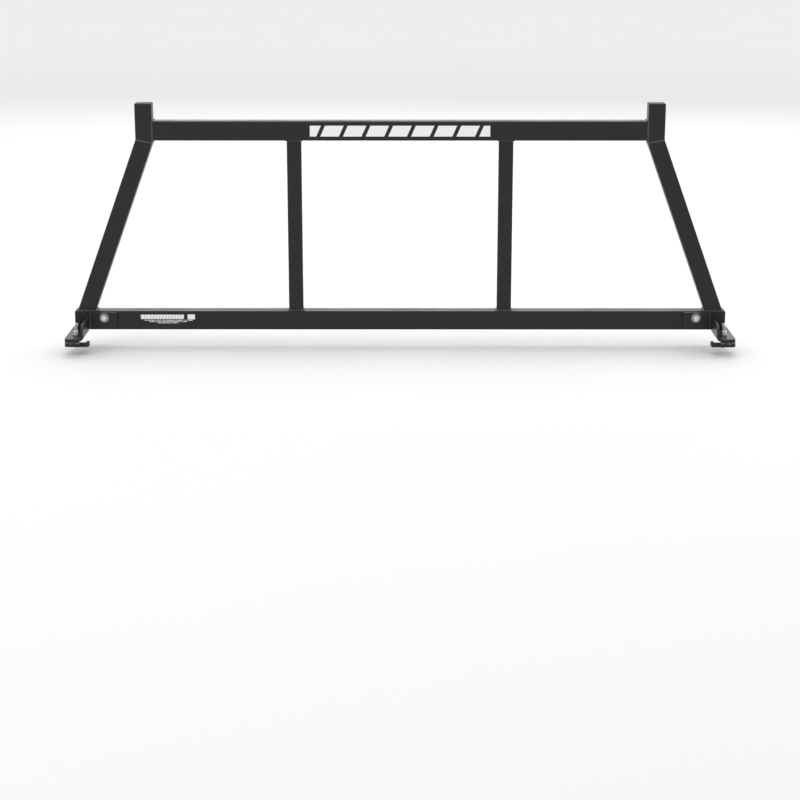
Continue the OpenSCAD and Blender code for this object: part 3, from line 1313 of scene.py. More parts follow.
class BeadRunner(GeometryTool):
    """Lays a rippled weld bead along paths that carry a radius and an outward direction."""

    RADIUS = "bead_radius"
    AWAY = "bead_away"
    RUN = "bead_run"
    WAY = "bead_way"
    MIDDLE = "bead_middle"
    DRIFT_SIZE = 9 * MM
    SWELL_SIZE = 7 * MM
    THINNEST = 0.88
    SWELL = 0.24

    def __init__(self) -> None:
        """Builds the tree."""
        super().__init__(
            "bead_runner",
            Step=Input.NUMBER,
            Ripple_Pitch=Input.NUMBER,
            Ripple_Depth=Input.NUMBER,
            Crescent=Input.NUMBER,
            Wander=Input.NUMBER,
            Sides=Input.COUNT,
            Seed=Input.COUNT,
            Finish=Input.MATERIAL,
        )
        given = self.inputs()
        bead = self.swept(self.path(given), given)
        self.end(self.rippled(bead, given), given["Finish"])

    def read(self, name: str, kind: str = "FLOAT") -> Wire:
        """Reads a named attribute."""
        return self.graph.add("GeometryNodeInputNamedAttribute", {"data_type": kind}, {"Name": name})

    def store(self, geometry: Wire, name: str, kind: str, value: Wire) -> Wire:
        """Stores a value on the points under a name.

        Args:
            geometry: The points.
            name: The attribute's name.
            kind: Its data type.
            value: What it holds.

        Returns:
            The points with the attribute.
        """
        return self.graph.add(
            "GeometryNodeStoreNamedAttribute",
            {"data_type": kind, "domain": "POINT"},
            {"Geometry": geometry, "Name": name, "Value": value},
        )

    def noise(self, size: float, seed: Wire, colour: bool = False) -> Wire:
        """Noise in space, shifted by the seed.

        Args:
            size: Width of its features, in metres.
            seed: The shift.
            colour: Whether all three parts are wanted.

        Returns:
            The noise.
        """
        where = self.graph.add("GeometryNodeInputPosition")
        shift = self.graph.add("ShaderNodeCombineXYZ", sockets={0: seed})
        where = self.graph.vector("ADD", where, shift)
        sockets = {"Vector": where, "Scale": 1 / size, "Detail": 1.0}
        return self.graph.add("ShaderNodeTexNoise", sockets=sockets, output=1 if colour else 0)

    def path(self, given: dict[str, Wire]) -> Wire:
        """Resamples the paths, lets them wander a little and notes their run.

        Args:
            given: The tree's inputs.

        Returns:
            The paths as curves.
        """
        add = self.graph.add
        line = add("GeometryNodeMeshToCurve", sockets={"Mesh": given["Shape"]})
        line = add(
            "GeometryNodeResampleCurve", {"mode": "LENGTH"}, {"Curve": line, "Length": given["Step"]}
        )
        drift = self.noise(self.DRIFT_SIZE, given["Seed"], colour=True)
        drift = self.graph.vector("SUBTRACT", drift, (0.5, 0.5, 0.5))
        drift = self.graph.scaled(drift, given["Wander"])
        line = add("GeometryNodeSetPosition", sockets={"Geometry": line, "Offset": drift})
        run = add("GeometryNodeSplineParameter", output="Length")
        line = self.store(line, self.RUN, "FLOAT", run)
        line = self.store(line, self.WAY, "FLOAT_VECTOR", add("GeometryNodeInputTangent"))
        return self.store(line, self.MIDDLE, "FLOAT_VECTOR", add("GeometryNodeInputPosition"))

    def swept(self, line: Wire, given: dict[str, Wire]) -> Wire:
        """Sweeps a round section along the paths.

        Args:
            line: The paths as curves.
            given: The tree's inputs.

        Returns:
            The smooth beads.
        """
        profile = self.graph.add(
            "GeometryNodeCurvePrimitiveCircle", sockets={"Resolution": given["Sides"], "Radius": 1.0}
        )
        uneven = self.THINNEST + self.SWELL * self.noise(self.SWELL_SIZE, given["Seed"])
        return self.graph.add(
            "GeometryNodeCurveToMesh",
            sockets={
                "Curve": line,
                "Profile Curve": profile,
                "Scale": uneven * self.read(self.RADIUS),
            },
        )

    def rippled(self, bead: Wire, given: dict[str, Wire]) -> Wire:
        """Raises the crescent ripples of the weld pool, and drops the notes.

        Args:
            bead: The smooth beads.
            given: The tree's inputs.

        Returns:
            The rippled beads.
        """
        add, vector = self.graph.add, self.graph.vector
        middle, way, away = (
            self.read(name, "FLOAT_VECTOR") for name in (self.MIDDLE, self.WAY, self.AWAY)
        )
        aside = vector("CROSS_PRODUCT", way, away)
        out = vector("SUBTRACT", add("GeometryNodeInputPosition"), middle)
        share = vector("DOT_PRODUCT", out, aside, output=1) / self.read(self.RADIUS)
        phase = (self.read(self.RUN) - given["Crescent"] * share * share) / given["Ripple Pitch"]
        wave = abs((math.pi * phase).sine()) - 0.5
        offset = self.graph.scaled(add("GeometryNodeInputNormal"), wave * given["Ripple Depth"])
        bead = add("GeometryNodeSetPosition", sockets={"Geometry": bead, "Offset": offset})
        for name in (self.RUN, self.WAY, self.MIDDLE, self.RADIUS, self.AWAY):
            bead = add("GeometryNodeRemoveAttribute", sockets={"Geometry": bead, "Name": name})
        return add("GeometryNodeSetShadeSmooth", sockets={"Geometry": bead})


# ---------------------------------------------------------------------------
# The rack
# ---------------------------------------------------------------------------


@dataclass(frozen=True)
class Cut:
    """A plane that ends a tube."""

    point: Vector
    facing: Vector

    def meet(self, start: Vector, way: Vector) -> Vector:
        """Where a line from start along way crosses the plane."""
        return start + way * ((self.point - start).dot(self.facing) / way.dot(self.facing))


@dataclass(frozen=True)
class Tube:
    """A straight length of rectangular tube between two cuts."""

    middle: Vector
    across: Vector
    deep: Vector
    width: float
    depth: float
    start: Cut
    end: Cut
    corner: float = 5 * MM
    wall: float = 2.1 * MM

    def loop(self, cut: Cut, inset: float, inset_deep: float | None = None) -> Loop:
        """The tube's outline on one of its cuts.

        Args:
            cut: The plane of the outline.
            inset: How far inside the outer faces it lies, across the width.
            inset_deep: The same across the depth, when it differs.

        Returns:
            The outline's points.
        """
        deep = inset if inset_deep is None else inset_deep
        outline = rounded_loop(
            self.width - 2 * inset, self.depth - 2 * deep, self.corner - max(inset, deep)
        )
        way = self.across.cross(self.deep)
        return [cut.meet(self.middle + self.across * u + self.deep * v, way) for u, v in outline]

    def skin(self, side: Side = Side.RIGHT) -> Skin:
        """The hollow tube's skin, drawn for the right side.

        Args:
            side: The side of the truck that it is for.

        Returns:
            The skin.
        """
        loops = [
            self.loop(cut, inset)
            for cut, inset in (
                (self.start, 0.0), (self.end, 0.0), (self.end, self.wall), (self.start, self.wall)
            )
        ]
        return Skin().wrap(side.mirror(loops), Ends.JOINED)


@dataclass(frozen=True)
class Seam:
    """A weld round the end of a tube."""

    loop: Loop
    radius: float = 3.0 * MM

    def away(self) -> list[Vector]:
        """The outward direction at each point."""
        centre = sum(self.loop, Vector()) / len(self.loop)
        return [(p - centre).normalized() for p in self.loop]


@dataclass
class TubeFrame:
    """The welded frame: two rails, two legs with their ears, and two posts."""

    finish: bpy.types.Material
    fillet: float = 3.0 * MM
    fillet_out: float = 0.9 * MM
    flush: float = 5.0 * MM
    flush_rise: float = 0.7 * MM
    hole_steps: int = 48
    seams: list[Seam] = field(default_factory=list)

    def __post_init__(self) -> None:
        """Reads the frame's places from the CAD nodes."""
        self.top = Box.of("top_rail")
        self.bottom = Box.of("bottom_rail")
        self.leg = Box.of("leg_right")
        self.ear = Box.of("ear_right")
        self.post = Box.of("post_right")
        self.y = self.top.middle.y

    @property
    def knee(self) -> Vector:
        """The outer point where the right leg meets its ear."""
        return Vector((self.ear.high.x, self.y, self.leg.high.z))

    def rail(self, box: Box) -> Tube:
        """A rail that fills a node's box.

        Args:
            box: The node's box.

        Returns:
            The rail.
        """
        return Tube(
            box.middle, Y_AXIS, Z_AXIS, box.size.y, box.size.z,
            Cut(box.low, X_AXIS), Cut(box.high, X_AXIS),
        )

    def mitre(self) -> Cut:
        """The plane between a leg and its ear."""
        inner = Vector((self.ear.low.x, self.y, self.ear.low.z))
        return Cut(self.knee, (self.knee - inner).cross(Y_AXIS))

    def leg_tube(self) -> Tube:
        """A leg, from the bottom rail to the mitre.

        Returns:
            The right leg.
        """
        foot = Vector((self.leg.high.x, self.y, self.leg.low.z))
        across = Y_AXIS.cross((self.knee - foot).normalized())
        width = self.ear.size.x
        return Tube(
            foot - across * width / 2, across, Y_AXIS, width, self.ear.size.y,
            Cut(foot, Z_AXIS), self.mitre(),
        )

    def ear_tube(self) -> Tube:
        """An ear, from the mitre to its open top.

        Returns:
            The right ear.
        """
        return Tube(
            self.ear.middle, X_AXIS, Y_AXIS, self.ear.size.x, self.ear.size.y,
            self.mitre(), Cut(self.ear.high, Z_AXIS),
        )

    def post_tube(self) -> Tube:
        """A post between the rails.

        Returns:
            The right post.
        """
        box = self.post
        return Tube(
            box.middle, X_AXIS, Y_AXIS, box.size.x, box.size.y,
            Cut(box.low, Z_AXIS), Cut(box.high, Z_AXIS),
        )

    def bore_rail(self, rail: bpy.types.Object) -> None:
        """Drills the bottom rail for the rail bolts.

        Args:
            rail: The bottom rail's piece.
        """
        bolt = Box.of("rail_bolts")
        reach = bolt.high.x - bolt.size.z / math.sqrt(3)
        drill = Skin()
        for side in Side:
            place = Matrix.Translation((side.value * reach, 0, bolt.middle.z)) @ FORWARD
            ends = [Ring(y, bolt_hole()).loop(self.hole_steps)[0] for y in (bolt.low.y, bolt.high.y)]
            drill.wrap([[place @ p for p in loop] for loop in ends], Ends.CLOSED)
        cutter = shown("drill", drill.mesh("drill"))
        boolean = rail.modifiers.new("bolt_holes", "BOOLEAN")
        boolean.operation = "DIFFERENCE"
        boolean.solver = "EXACT"
        boolean.object = cutter
        settle(rail)
        bpy.data.objects.remove(cutter)
        smoothed(rail.data)

    def note_seams(self) -> None:
        """Notes every weld of the frame."""
        post, leg, top = self.post_tube(), self.leg_tube(), self.rail(self.top)
        outside, sunk = -self.fillet_out, self.flush - self.flush_rise
        level = self.fillet - self.flush_rise
        for side in Side:
            for tube, cut, inset, inset_deep, radius in (
                (post, post.start, outside, outside, self.fillet),
                (post, post.end, outside, outside, self.fillet),
                (leg, leg.start, outside, level, self.fillet),
                (leg, leg.end, sunk, sunk, self.flush),
                (top, top.end, level, outside, self.fillet),
            ):
                loop = tube.loop(cut, inset, inset_deep)
                self.seams.append(Seam(side.mirror([loop])[0], radius))

    def build(self) -> None:
        """Builds the tubes, and notes their welds."""
        for name, box in (("top_rail", self.top), ("bottom_rail", self.bottom)):
            piece = shown(f"{name}_tube", self.rail(box).skin().mesh(name), self.finish)
            if name == "bottom_rail":
                self.bore_rail(piece)
            deliver(even(piece), "rack", "frame_coat", name)
        for side in Side:
            for word, tube in (
                ("leg", self.leg_tube()), ("ear", self.ear_tube()), ("post", self.post_tube())
            ):
                name = f"{word}_{side.word}"
                piece = shown(f"{name}_tube", tube.skin(side).mesh(name), self.finish)
                deliver(even(piece), "rack", "frame_coat", name)
        self.note_seams()


@dataclass
class WeldBeads:
    """The beads that join the tubes, in a glossier coat painted paler than the tubes': partly thinner coat,
    partly a painted highlight.
    """

    finish: bpy.types.Material
    seams: list[Seam]
    ripple_pitch: float = 2.6 * MM
    ripple_depth: float = 0.42 * MM
    crescent: float = 1.7 * MM
    wander: float = 0.7 * MM
    step: float = 0.55 * MM
    sides: int = 12
    seed: int = 7

    def paths(self) -> bpy.types.Mesh:
        """The seams as closed lines, with their radius and outward direction.

        Returns:
            A mesh of lines.
        """
        points, edges, radii, away = [], [], [], []
        for seam in self.seams:
            base, count = len(points), len(seam.loop)
            points.extend(seam.loop)
            edges.extend((base + i, base + (i + 1) % count) for i in range(count))
            radii.extend([seam.radius] * count)
            away.extend(seam.away())
        mesh = bpy.data.meshes.new("weld_paths")
        mesh.from_pydata(points, edges, [])
        mesh.attributes.new(BeadRunner.RADIUS, "FLOAT", "POINT").data.foreach_set("value", radii)
        layer = mesh.attributes.new(BeadRunner.AWAY, "FLOAT_VECTOR", "POINT")
        layer.data.foreach_set("vector", [part for way in away for part in way])
        return mesh

    def build(self) -> None:
        """Lays every bead in one piece."""
        piece = shown("weld_beads", self.paths())
        BeadRunner().run(
            piece,
            Step=self.step,
            Ripple_Pitch=self.ripple_pitch,
            Ripple_Depth=self.ripple_depth,
            Crescent=self.crescent,
            Wander=self.wander,
            Sides=self.sides,
            Seed=self.seed,
            Finish=self.finish,
        )
        deliver(piece, "rack", "frame_coat")


@dataclass
class TubeCaps:
    """Moulded caps in the ears and in the ends of the bottom rail."""

    finish: bpy.types.Material
    corner: float = 5 * MM
    wall: float = 2.1 * MM
    fit: float = 0.15 * MM
    plug_wall: float = 2 * MM
    lip: float = 2 * MM
    lead: float = 0.6 * MM
    broken_edge: float = 0.25 * MM

    def skin(self, width: float, height: float, rise: float, plug: float) -> Skin:
        """A cap on a tube that ends at the origin.

        Args:
            width: The tube's width.
            height: The tube's height.
            rise: How far the cap stands out of the tube.
            plug: How far it reaches into the tube.

        Returns:
            The cap's skin.
        """
        grip = self.wall + self.fit
        inside = grip + self.plug_wall
        steps = [
            (inside, 0.0),
            (inside, -plug),
            (grip + self.lead, -plug),
            (grip, -plug + 2 * self.lead),
            (grip, 0.0),
            (self.broken_edge, 0.0),
            (0.0, self.broken_edge),
            (0.0, 0.45 * self.lip),
            (0.08 * self.lip, 0.72 * self.lip),
            (0.28 * self.lip, 0.93 * self.lip),
            (0.55 * self.lip, self.lip),
            (0.95 * self.lip, 1.03 * self.lip),
            (1.05 * self.lip, 0.85 * rise),
            (1.25 * self.lip, 0.96 * rise),
            (1.60 * self.lip, rise),
            (4.0 * self.lip, 0.99 * rise),
            (7.0 * self.lip, 0.975 * rise),
        ]
        return Skin().wrap(stacked(width, height, self.corner, steps), Ends.CLOSED)

    def fit_cap(self, node: str, skin: Skin, placing: Matrix) -> None:
        """Puts one cap in its place and delivers it."""
        piece = shown(f"{node}_moulding", skin.mesh(node, placing), self.finish)
        deliver(even(piece), "rack", "black_plastic", node)

    def build(self) -> None:
        """Builds the four caps."""
        ear, rail = Box.of("ear_right"), Box.of("bottom_rail")
        for side in Side:
            node = f"ear_cap_{side.word}"
            cap = Box.of(node)
            end = Vector((cap.middle.x, cap.middle.y, ear.high.z))
            skin = self.skin(cap.size.x, cap.size.y, cap.high.z - end.z, end.z - cap.low.z)
            self.fit_cap(node, skin, Matrix.Translation(end))

            node = f"rail_cap_{side.word}"
            cap = Box.of(node)
            end = Vector((rail.high.x, cap.middle.y, cap.middle.z))
            inner, outer = sorted((abs(cap.low.x), abs(cap.high.x)))
            skin = self.skin(cap.size.y, cap.size.z, outer - end.x, end.x - inner)
            flip = Matrix.Diagonal((side.value, 1, 1, 1))
            self.fit_cap(node, skin, flip @ Matrix.Translation(end) @ OUTWARD)


@dataclass
class SideBrackets:
    """The bent plate brackets and the rubber pads under them."""

    coat: bpy.types.Material
    rubber: bpy.types.Material
    plate_edge: float = 0.7 * MM
    pad_edge: float = 0.5 * MM

    def build(self) -> None:
        """Builds both brackets and both pads."""
        for side in Side:
            name = f"bracket_{side.word}"
            piece = pressed_copy(f"{name}_plate", name, self.plate_edge, self.coat)
            deliver(piece, "rack", "bracket_coat", name)
            name = f"pad_{side.word}"
            piece = pressed_copy(f"{name}_rubber", name, self.pad_edge, self.rubber)
            deliver(piece, "rack", "pad_rubber", name)


@dataclass
class Fasteners:
    """Every bolt, nut and washer, with the thread that they share."""

    zinc: bpy.types.Material
    dull_zinc: bpy.types.Material
    copies: PairedCopies
    bore: float = field(default_factory=bolt_hole)
    washer_edge: float = 0.4 * MM
    chamfer: float = 1.3 * MM
    bore_gap: float = 0.5 * MM
    running_gap: float = 0.04 * MM
    inside_thread: float = 0.45 * MM
    tip_steps: int = 4

    def __post_init__(self) -> None:
        """Reads the thread from the coupling of a clamp's drop to its nut's turn."""
        ratio = frame["record"]["behaviour"]["couplings"][0]["ratio"]
        self.thread = Thread(pitch=math.tau / ratio)
        self.flats = Box.of("rail_bolts").size.z
        self.shank = Box.of("clamp_bolt_right")

    @property
    def bolt_radius(self) -> float:
        """Radius over the crests of the thread."""
        return self.bore - self.bore_gap

    def thread_rings(self, low: float, high: float, tip: float) -> list[Ring]:
        """Rings of an outside thread.

        Args:
            low: Where it starts.
            high: Where the bolt ends.
            tip: Height of the chamfer at the end.

        Returns:
            The rings, from low to high.
        """
        rings = []
        for level in self.thread.levels(low, high - tip):
            ease = min(1.0, (level - low) / (1.5 * self.thread.pitch))
            rings.append(Ring(level, self.bolt_radius, thread=self.thread, share=ease))
        for step in range(1, self.tip_steps + 1):
            done = step / self.tip_steps
            half = self.bolt_radius - 1.25 * self.thread.depth * done
            rings.append(Ring(high - tip * (1 - done), half, thread=self.thread, share=1 - done))
        return rings

    def bore_rings(self, high: float, low: float, mouth: float) -> list[Ring]:
        """Rings down a nut's threaded bore, from its upper to its lower mouth.

        Args:
            high: Height of the upper mouth.
            low: Height of the lower mouth.
            mouth: Width of the chamfer at each mouth.

        Returns:
            The rings, from high to low.
        """
        radius = self.bolt_radius + self.running_gap
        inside = Thread(self.thread.pitch, depth=-self.inside_thread)
        levels = reversed(inside.levels(low + mouth, high - mouth))
        threaded = [Ring(level, radius, thread=inside) for level in levels]
        return [Ring(high, radius + mouth), *threaded, Ring(low, radius + mouth)]

    def paired(
        self,
        name: str,
        skin: Skin,
        first: Vector,
        placing: Matrix,
        slot: str = "zinc_hardware",
        along: Vector | None = None,
        turn: float = math.tau,
        finish: bpy.types.Material | None = None,
        nodes: tuple[str, ...] = (),
    ) -> None:
        """Sets copies of a fastener on both sides and delivers them.

        Args:
            name: The piece's name.
            skin: The fastener about the origin, along its own Z.
            first: Place of the first copy on the left side.
            placing: Which way its Z points.
            slot: The material slot.
            along: Step to the second row, when there is one.
            turn: The most that a copy is turned about its axis.
            finish: The material, zinc when it isn't given.
            nodes: The CAD nodes that the copies stand for.
        """
        finish = finish or self.zinc
        piece = shown(name, skin.mesh(name, placing), finish)
        self.copies.run(
            piece,
            First=tuple(first),
            Across=(-2 * first.x, 0.0, 0.0),
            Along=tuple(along or Vector()),
            Rows=1 if along is None else 2,
            Axis=tuple(placing.to_3x3() @ Z_AXIS),
            Turn=turn,
            Seed=len(name),
            Finish=finish,
        )
        deliver(piece, "rack", slot, *nodes)


@dataclass
class RailFasteners(Fasteners):
    """The bolts that hold the brackets to the bottom rail."""

    nylon: bpy.types.Material | None = None
    head: float = 6 * MM
    nut: float = 8.3 * MM
    thread_length: float = 28 * MM
    mark_rise: float = 0.25 * MM
    mark_length: float = 3.2 * MM
    mark_width: float = 0.7 * MM
    washer_face: float = 0.4 * MM
    neck_radius: float = 0.5 * MM
    insert_wall: float = 1.15 * MM
    insert_seat: float = 0.4 * MM
    insert_depth: float = 0.6 * MM
    sleeve_wall: float = 2.6 * MM
    sleeve_gap: float = 0.4 * MM
    ring_edge: float = 0.3 * MM

    def bolt(self, length: float) -> Skin:
        """A hexagon bolt with a washer face under its head and three strength marks on it.

        Args:
            length: Length from the marks' face to the tip.

        Returns:
            The bolt, with its head at the origin.
        """
        half = self.flats / 2
        face = self.mark_rise
        rings = [Ring(face, 0.70 * half), Ring(face, 0.9 * half)]
        rings += chamfer_rings(face, self.chamfer, half)
        under = self.head - self.washer_face
        rings += [
            Ring(under, half, Section.HEXAGON),
            Ring(under, 0.95 * half),
            Ring(self.head, 0.95 * half),
            Ring(self.head, self.bolt_radius + self.neck_radius),
            Ring(self.head + self.neck_radius, self.bolt_radius),
        ]
        rings += self.thread_rings(length - self.thread_length, length, self.thread.pitch)
        skin = Turning(tuple(rings), Ends.CLOSED).skin()
        steps = [(0.0, face + 0.1 * MM), (0.0, 0.08 * MM), (0.15 * MM, 0.0)]
        for mark in range(3):
            turn = Matrix.Rotation(math.tau * mark / 3, 4, "Z")
            shift = Matrix.Translation((0.46 * half, 0, 0))
            bar = stacked(self.mark_length, self.mark_width, self.mark_rise, steps)
            skin.wrap([[turn @ shift @ p for p in loop] for loop in bar], Ends.CLOSED)
        return skin

    def lock_nut(self, height: float) -> Skin:
        """A hexagon nut with a rolled collar that holds its insert.

        Args:
            height: Height with the collar.

        Returns:
            The nut, standing on the origin.
        """
        half = self.flats / 2
        collar = half - 0.5 * MM
        rings = chamfer_rings(0.0, self.chamfer, half)
        rings += reversed(chamfer_rings(self.nut, -0.6 * self.chamfer, half))
        mouth = self.bolt_radius + 1.2 * MM
        seat = self.nut - self.insert_seat
        outline = (
            (collar, self.nut), (collar, height - 1.0 * MM), (collar - 0.35 * MM, height - 0.3 * MM),
            (collar - 0.95 * MM, height), (mouth, height - 0.1 * MM), (mouth, height - 0.5 * MM),
            (mouth, seat),
        )
        rings += [Ring(z, r) for r, z in outline]
        rings += self.bore_rings(seat, 0.0, 0.5 * MM)
        return Turning(tuple(rings), Ends.JOINED).skin()

    def build(self) -> None:
        """Builds the bolts, washers, lock nuts, inserts and crush sleeves."""
        bolt, nut = Box.of("rail_bolts"), Box.of("rail_lock_nuts")
        washer, sleeve = Box.of("rail_washers"), Box.of("crush_sleeves")
        x = -washer.high.x + washer.size.z / 2
        z = bolt.middle.z

        def at(y: float) -> Vector:
            """A place on the left bolt's axis."""
            return Vector((x, y, z))

        self.paired(
            "rail_bolts_set", self.bolt(bolt.size.y), at(bolt.low.y), FORWARD, nodes=("rail_bolts",)
        )
        height = nut.size.y
        self.paired(
            "rail_lock_nuts_set", self.lock_nut(height), at(nut.low.y), FORWARD,
            nodes=("rail_lock_nuts",),
        )
        insert = flat_ring(
            self.bolt_radius + self.running_gap, self.bolt_radius + self.insert_wall,
            height - self.nut - self.insert_depth, self.ring_edge,
        )
        self.paired(
            "rail_lock_nut_inserts", insert.skin(), at(nut.low.y + self.nut), FORWARD,
            slot="black_plastic", finish=self.nylon,
        )
        thickness = washer.high.y - Box.of("bottom_rail").high.y
        disc = flat_ring(self.bore, washer.size.z / 2, thickness, self.washer_edge)
        step = Vector((0, washer.size.y - thickness, 0))
        self.paired(
            "rail_washers_set", disc.skin(), at(washer.low.y), FORWARD, along=step,
            finish=self.dull_zinc, nodes=("rail_washers",),
        )
        inside = self.bolt_radius + self.sleeve_gap
        tube = flat_ring(inside, inside + self.sleeve_wall, sleeve.size.y, self.ring_edge)
        self.paired(
            "crush_sleeves_set", tube.skin(), at(sleeve.low.y), FORWARD, nodes=("crush_sleeves",)
        )


@dataclass
class BedClamps(Fasteners):
    """The clamp in each stake pocket: carriage bolt, plate, nut and washers."""

    coat: bpy.types.Material | None = None
    plate_edge: float = 0.9 * MM
    dome: float = 5 * MM
    dome_steps: int = 10
    neck: float = 6 * MM
    neck_corner: float = 1.33
    split: float = 1.2 * MM
    split_rise: float = 0.06 * MM
    split_steps: int = 60

    def carriage_bolt(self, plate: Box) -> Skin:
        """A domed bolt with a square neck, standing on the plane of the dome's edge.

        Args:
            plate: Box of the clamp plate that it goes through.

        Returns:
            The bolt, with its tip up.
        """
        dome_radius = self.shank.size.y / 2
        ball = (dome_radius**2 + self.dome**2) / (2 * self.dome)
        rings = []
        for step in range(1, self.dome_steps + 1):
            reach = dome_radius * (step - 0.8) / (self.dome_steps - 0.8)
            level = ball - self.dome - math.sqrt(ball**2 - reach**2)
            rings.append(Ring(min(level, -0.5 * MM if step == self.dome_steps else 0.0), reach))
        top = self.shank.high.z - plate.low.z
        half = self.bolt_radius
        corner = self.neck_corner * half
        rings += [
            Ring(0.0, dome_radius - 0.15 * MM),
            Ring(0.0, half + 1.4 * MM),
            Ring(0.0, half, Section.SQUARE, limit=corner),
            Ring(self.neck - 0.5 * MM, half, Section.SQUARE, limit=corner),
        ]
        rings += self.thread_rings(self.neck, top, self.thread.pitch)
        return Turning(tuple(rings), Ends.CLOSED).skin()

    def nut(self, height: float) -> Skin:
        """A plain hexagon nut, turned down at both faces.

        Args:
            height: The nut's height.

        Returns:
            The nut, standing on the origin.
        """
        half = self.flats / 2
        rings = chamfer_rings(0.0, self.chamfer, half)
        rings += reversed(chamfer_rings(height, -self.chamfer, half))
        rings += self.bore_rings(height, 0.0, 0.55 * MM)
        return Turning(tuple(rings), Ends.JOINED).skin()

    def lock_washer(self, rim: float, thickness: float) -> Skin:
        """A split spring washer, drawn tight, with its two ends cut square.

        Args:
            rim: The rim's radius.
            thickness: The washer's thickness.

        Returns:
            The washer, standing on the origin.
        """
        rise = self.split_rise
        corners = (
            (self.bore, 0.0), (rim, rise), (rim, thickness - rise), (self.bore, thickness)
        )
        outline = eased(corners, 0.35 * MM)
        half_split = self.split / (rim + self.bore)
        loops = []
        for i in range(self.split_steps + 1):
            angle = half_split + (math.tau - 2 * half_split) * i / self.split_steps
            loops.append([Vector((r * math.cos(angle), r * math.sin(angle), z)) for r, z in outline])
        return Skin().wrap(loops, Ends.CLOSED)

    def build(self) -> None:
        """Builds the clamps' fixed washers, and each side's moving pieces."""
        washer, lock = Box.of("clamp_washers"), Box.of("clamp_lock_washers")
        axis_x = washer.high.x - washer.size.y / 2
        for side in Side:
            x = side.value * axis_x
            body = f"{side.word}_clamp"
            plate_name, bolt_name = f"clamp_plate_{side.word}", f"clamp_bolt_{side.word}"
            plate = Box.of(plate_name)
            standing = Matrix.Translation((x, 0, plate.low.z))
            mesh = self.carriage_bolt(plate).mesh(bolt_name, standing)
            deliver(shown(f"{bolt_name}_threaded", mesh, self.zinc), body, "zinc_hardware", bolt_name)
            piece = pressed_copy(f"{plate_name}_jaws", plate_name, self.plate_edge, self.coat)
            deliver(piece, body, "bracket_coat", plate_name)
            nut_name = f"clamp_nut_{side.word}"
            nut = Box.of(nut_name)
            mesh = self.nut(nut.size.z).mesh(nut_name, Matrix.Translation((x, 0, nut.low.z)))
            piece = shown(f"{nut_name}_hexagon", mesh, self.zinc)
            deliver(piece, f"{side.word}_nut", "zinc_hardware", nut_name)
        disc = flat_ring(self.bore, washer.size.y / 2, washer.size.z, self.washer_edge)
        self.paired(
            "clamp_washers_set", disc.skin(), Vector((-axis_x, 0, washer.low.z)), UPWARD,
            finish=self.dull_zinc, nodes=("clamp_washers",),
        )
        spring = self.lock_washer(lock.size.y / 2, lock.size.z)
        self.paired(
            "clamp_lock_washers_set", spring, Vector((-axis_x, 0, lock.low.z)), UPWARD,
            nodes=("clamp_lock_washers",),
        )


@dataclass
class Films:
    """The reflective strip on the top rail and the label on the bottom rail."""

    corner: float = 3 * MM

    def film(self, node: str) -> bpy.types.Object:
        """A thin film that fills a node's box, with its front edge rounded.

        Args:
            node: The film's CAD node.

        Returns:
            The film, without its material.
        """
        box = Box.of(node)
        thickness = box.size.y
        steps = [
            (0.0, 0.0), (0.0, 0.5 * thickness), (0.12 * MM, 0.85 * thickness), (0.4 * MM, thickness)
        ]
        loops = stacked(box.size.x, box.size.z, self.corner, steps)
        place = Vector((box.middle.x, box.high.y, box.middle.z))
        mesh = Skin().wrap(loops, Ends.CLOSED).mesh(node, Matrix.Translation(place) @ REARWARD)
        return shown(f"{node}_film", mesh)

    def build(self) -> None:
        """Builds both films."""
        for node, slot, kind in (
            ("reflective_strip", "reflective_film", ReflectiveFilm),
            ("rail_label", "label_film", PrintedLabel),
        ):
            box = Box.of(node)
            piece = self.film(node)
            piece.data.materials.append(kind(box.middle, box.size.x, box.size.z).material())
            deliver(piece, "rack", slot, node)


# ---------------------------------------------------------------------------
# Studio
# ---------------------------------------------------------------------------


@dataclass(frozen=True)
class SoftBox:
    """A rectangular studio lamp, which the camera doesn't see."""

    name: str
    place: Vector
    width: float
    height: float
    watts: float

    def build(self, aim: Vector) -> None:
        """Hangs the lamp and points it.

        Args:
            aim: The place that it points at.
        """
        data = bpy.data.lights.new(self.name, "AREA")
        data.shape = "RECTANGLE"
        data.size, data.size_y = self.width, self.height
        data.energy = self.watts
        lamp = bpy.data.objects.new(self.name, data)
        lamp.location = self.place
        lamp.rotation_euler = (aim - self.place).to_track_quat("-Z", "Y").to_euler()
        lamp.visible_camera = False
        bpy.context.scene.collection.objects.link(lamp)


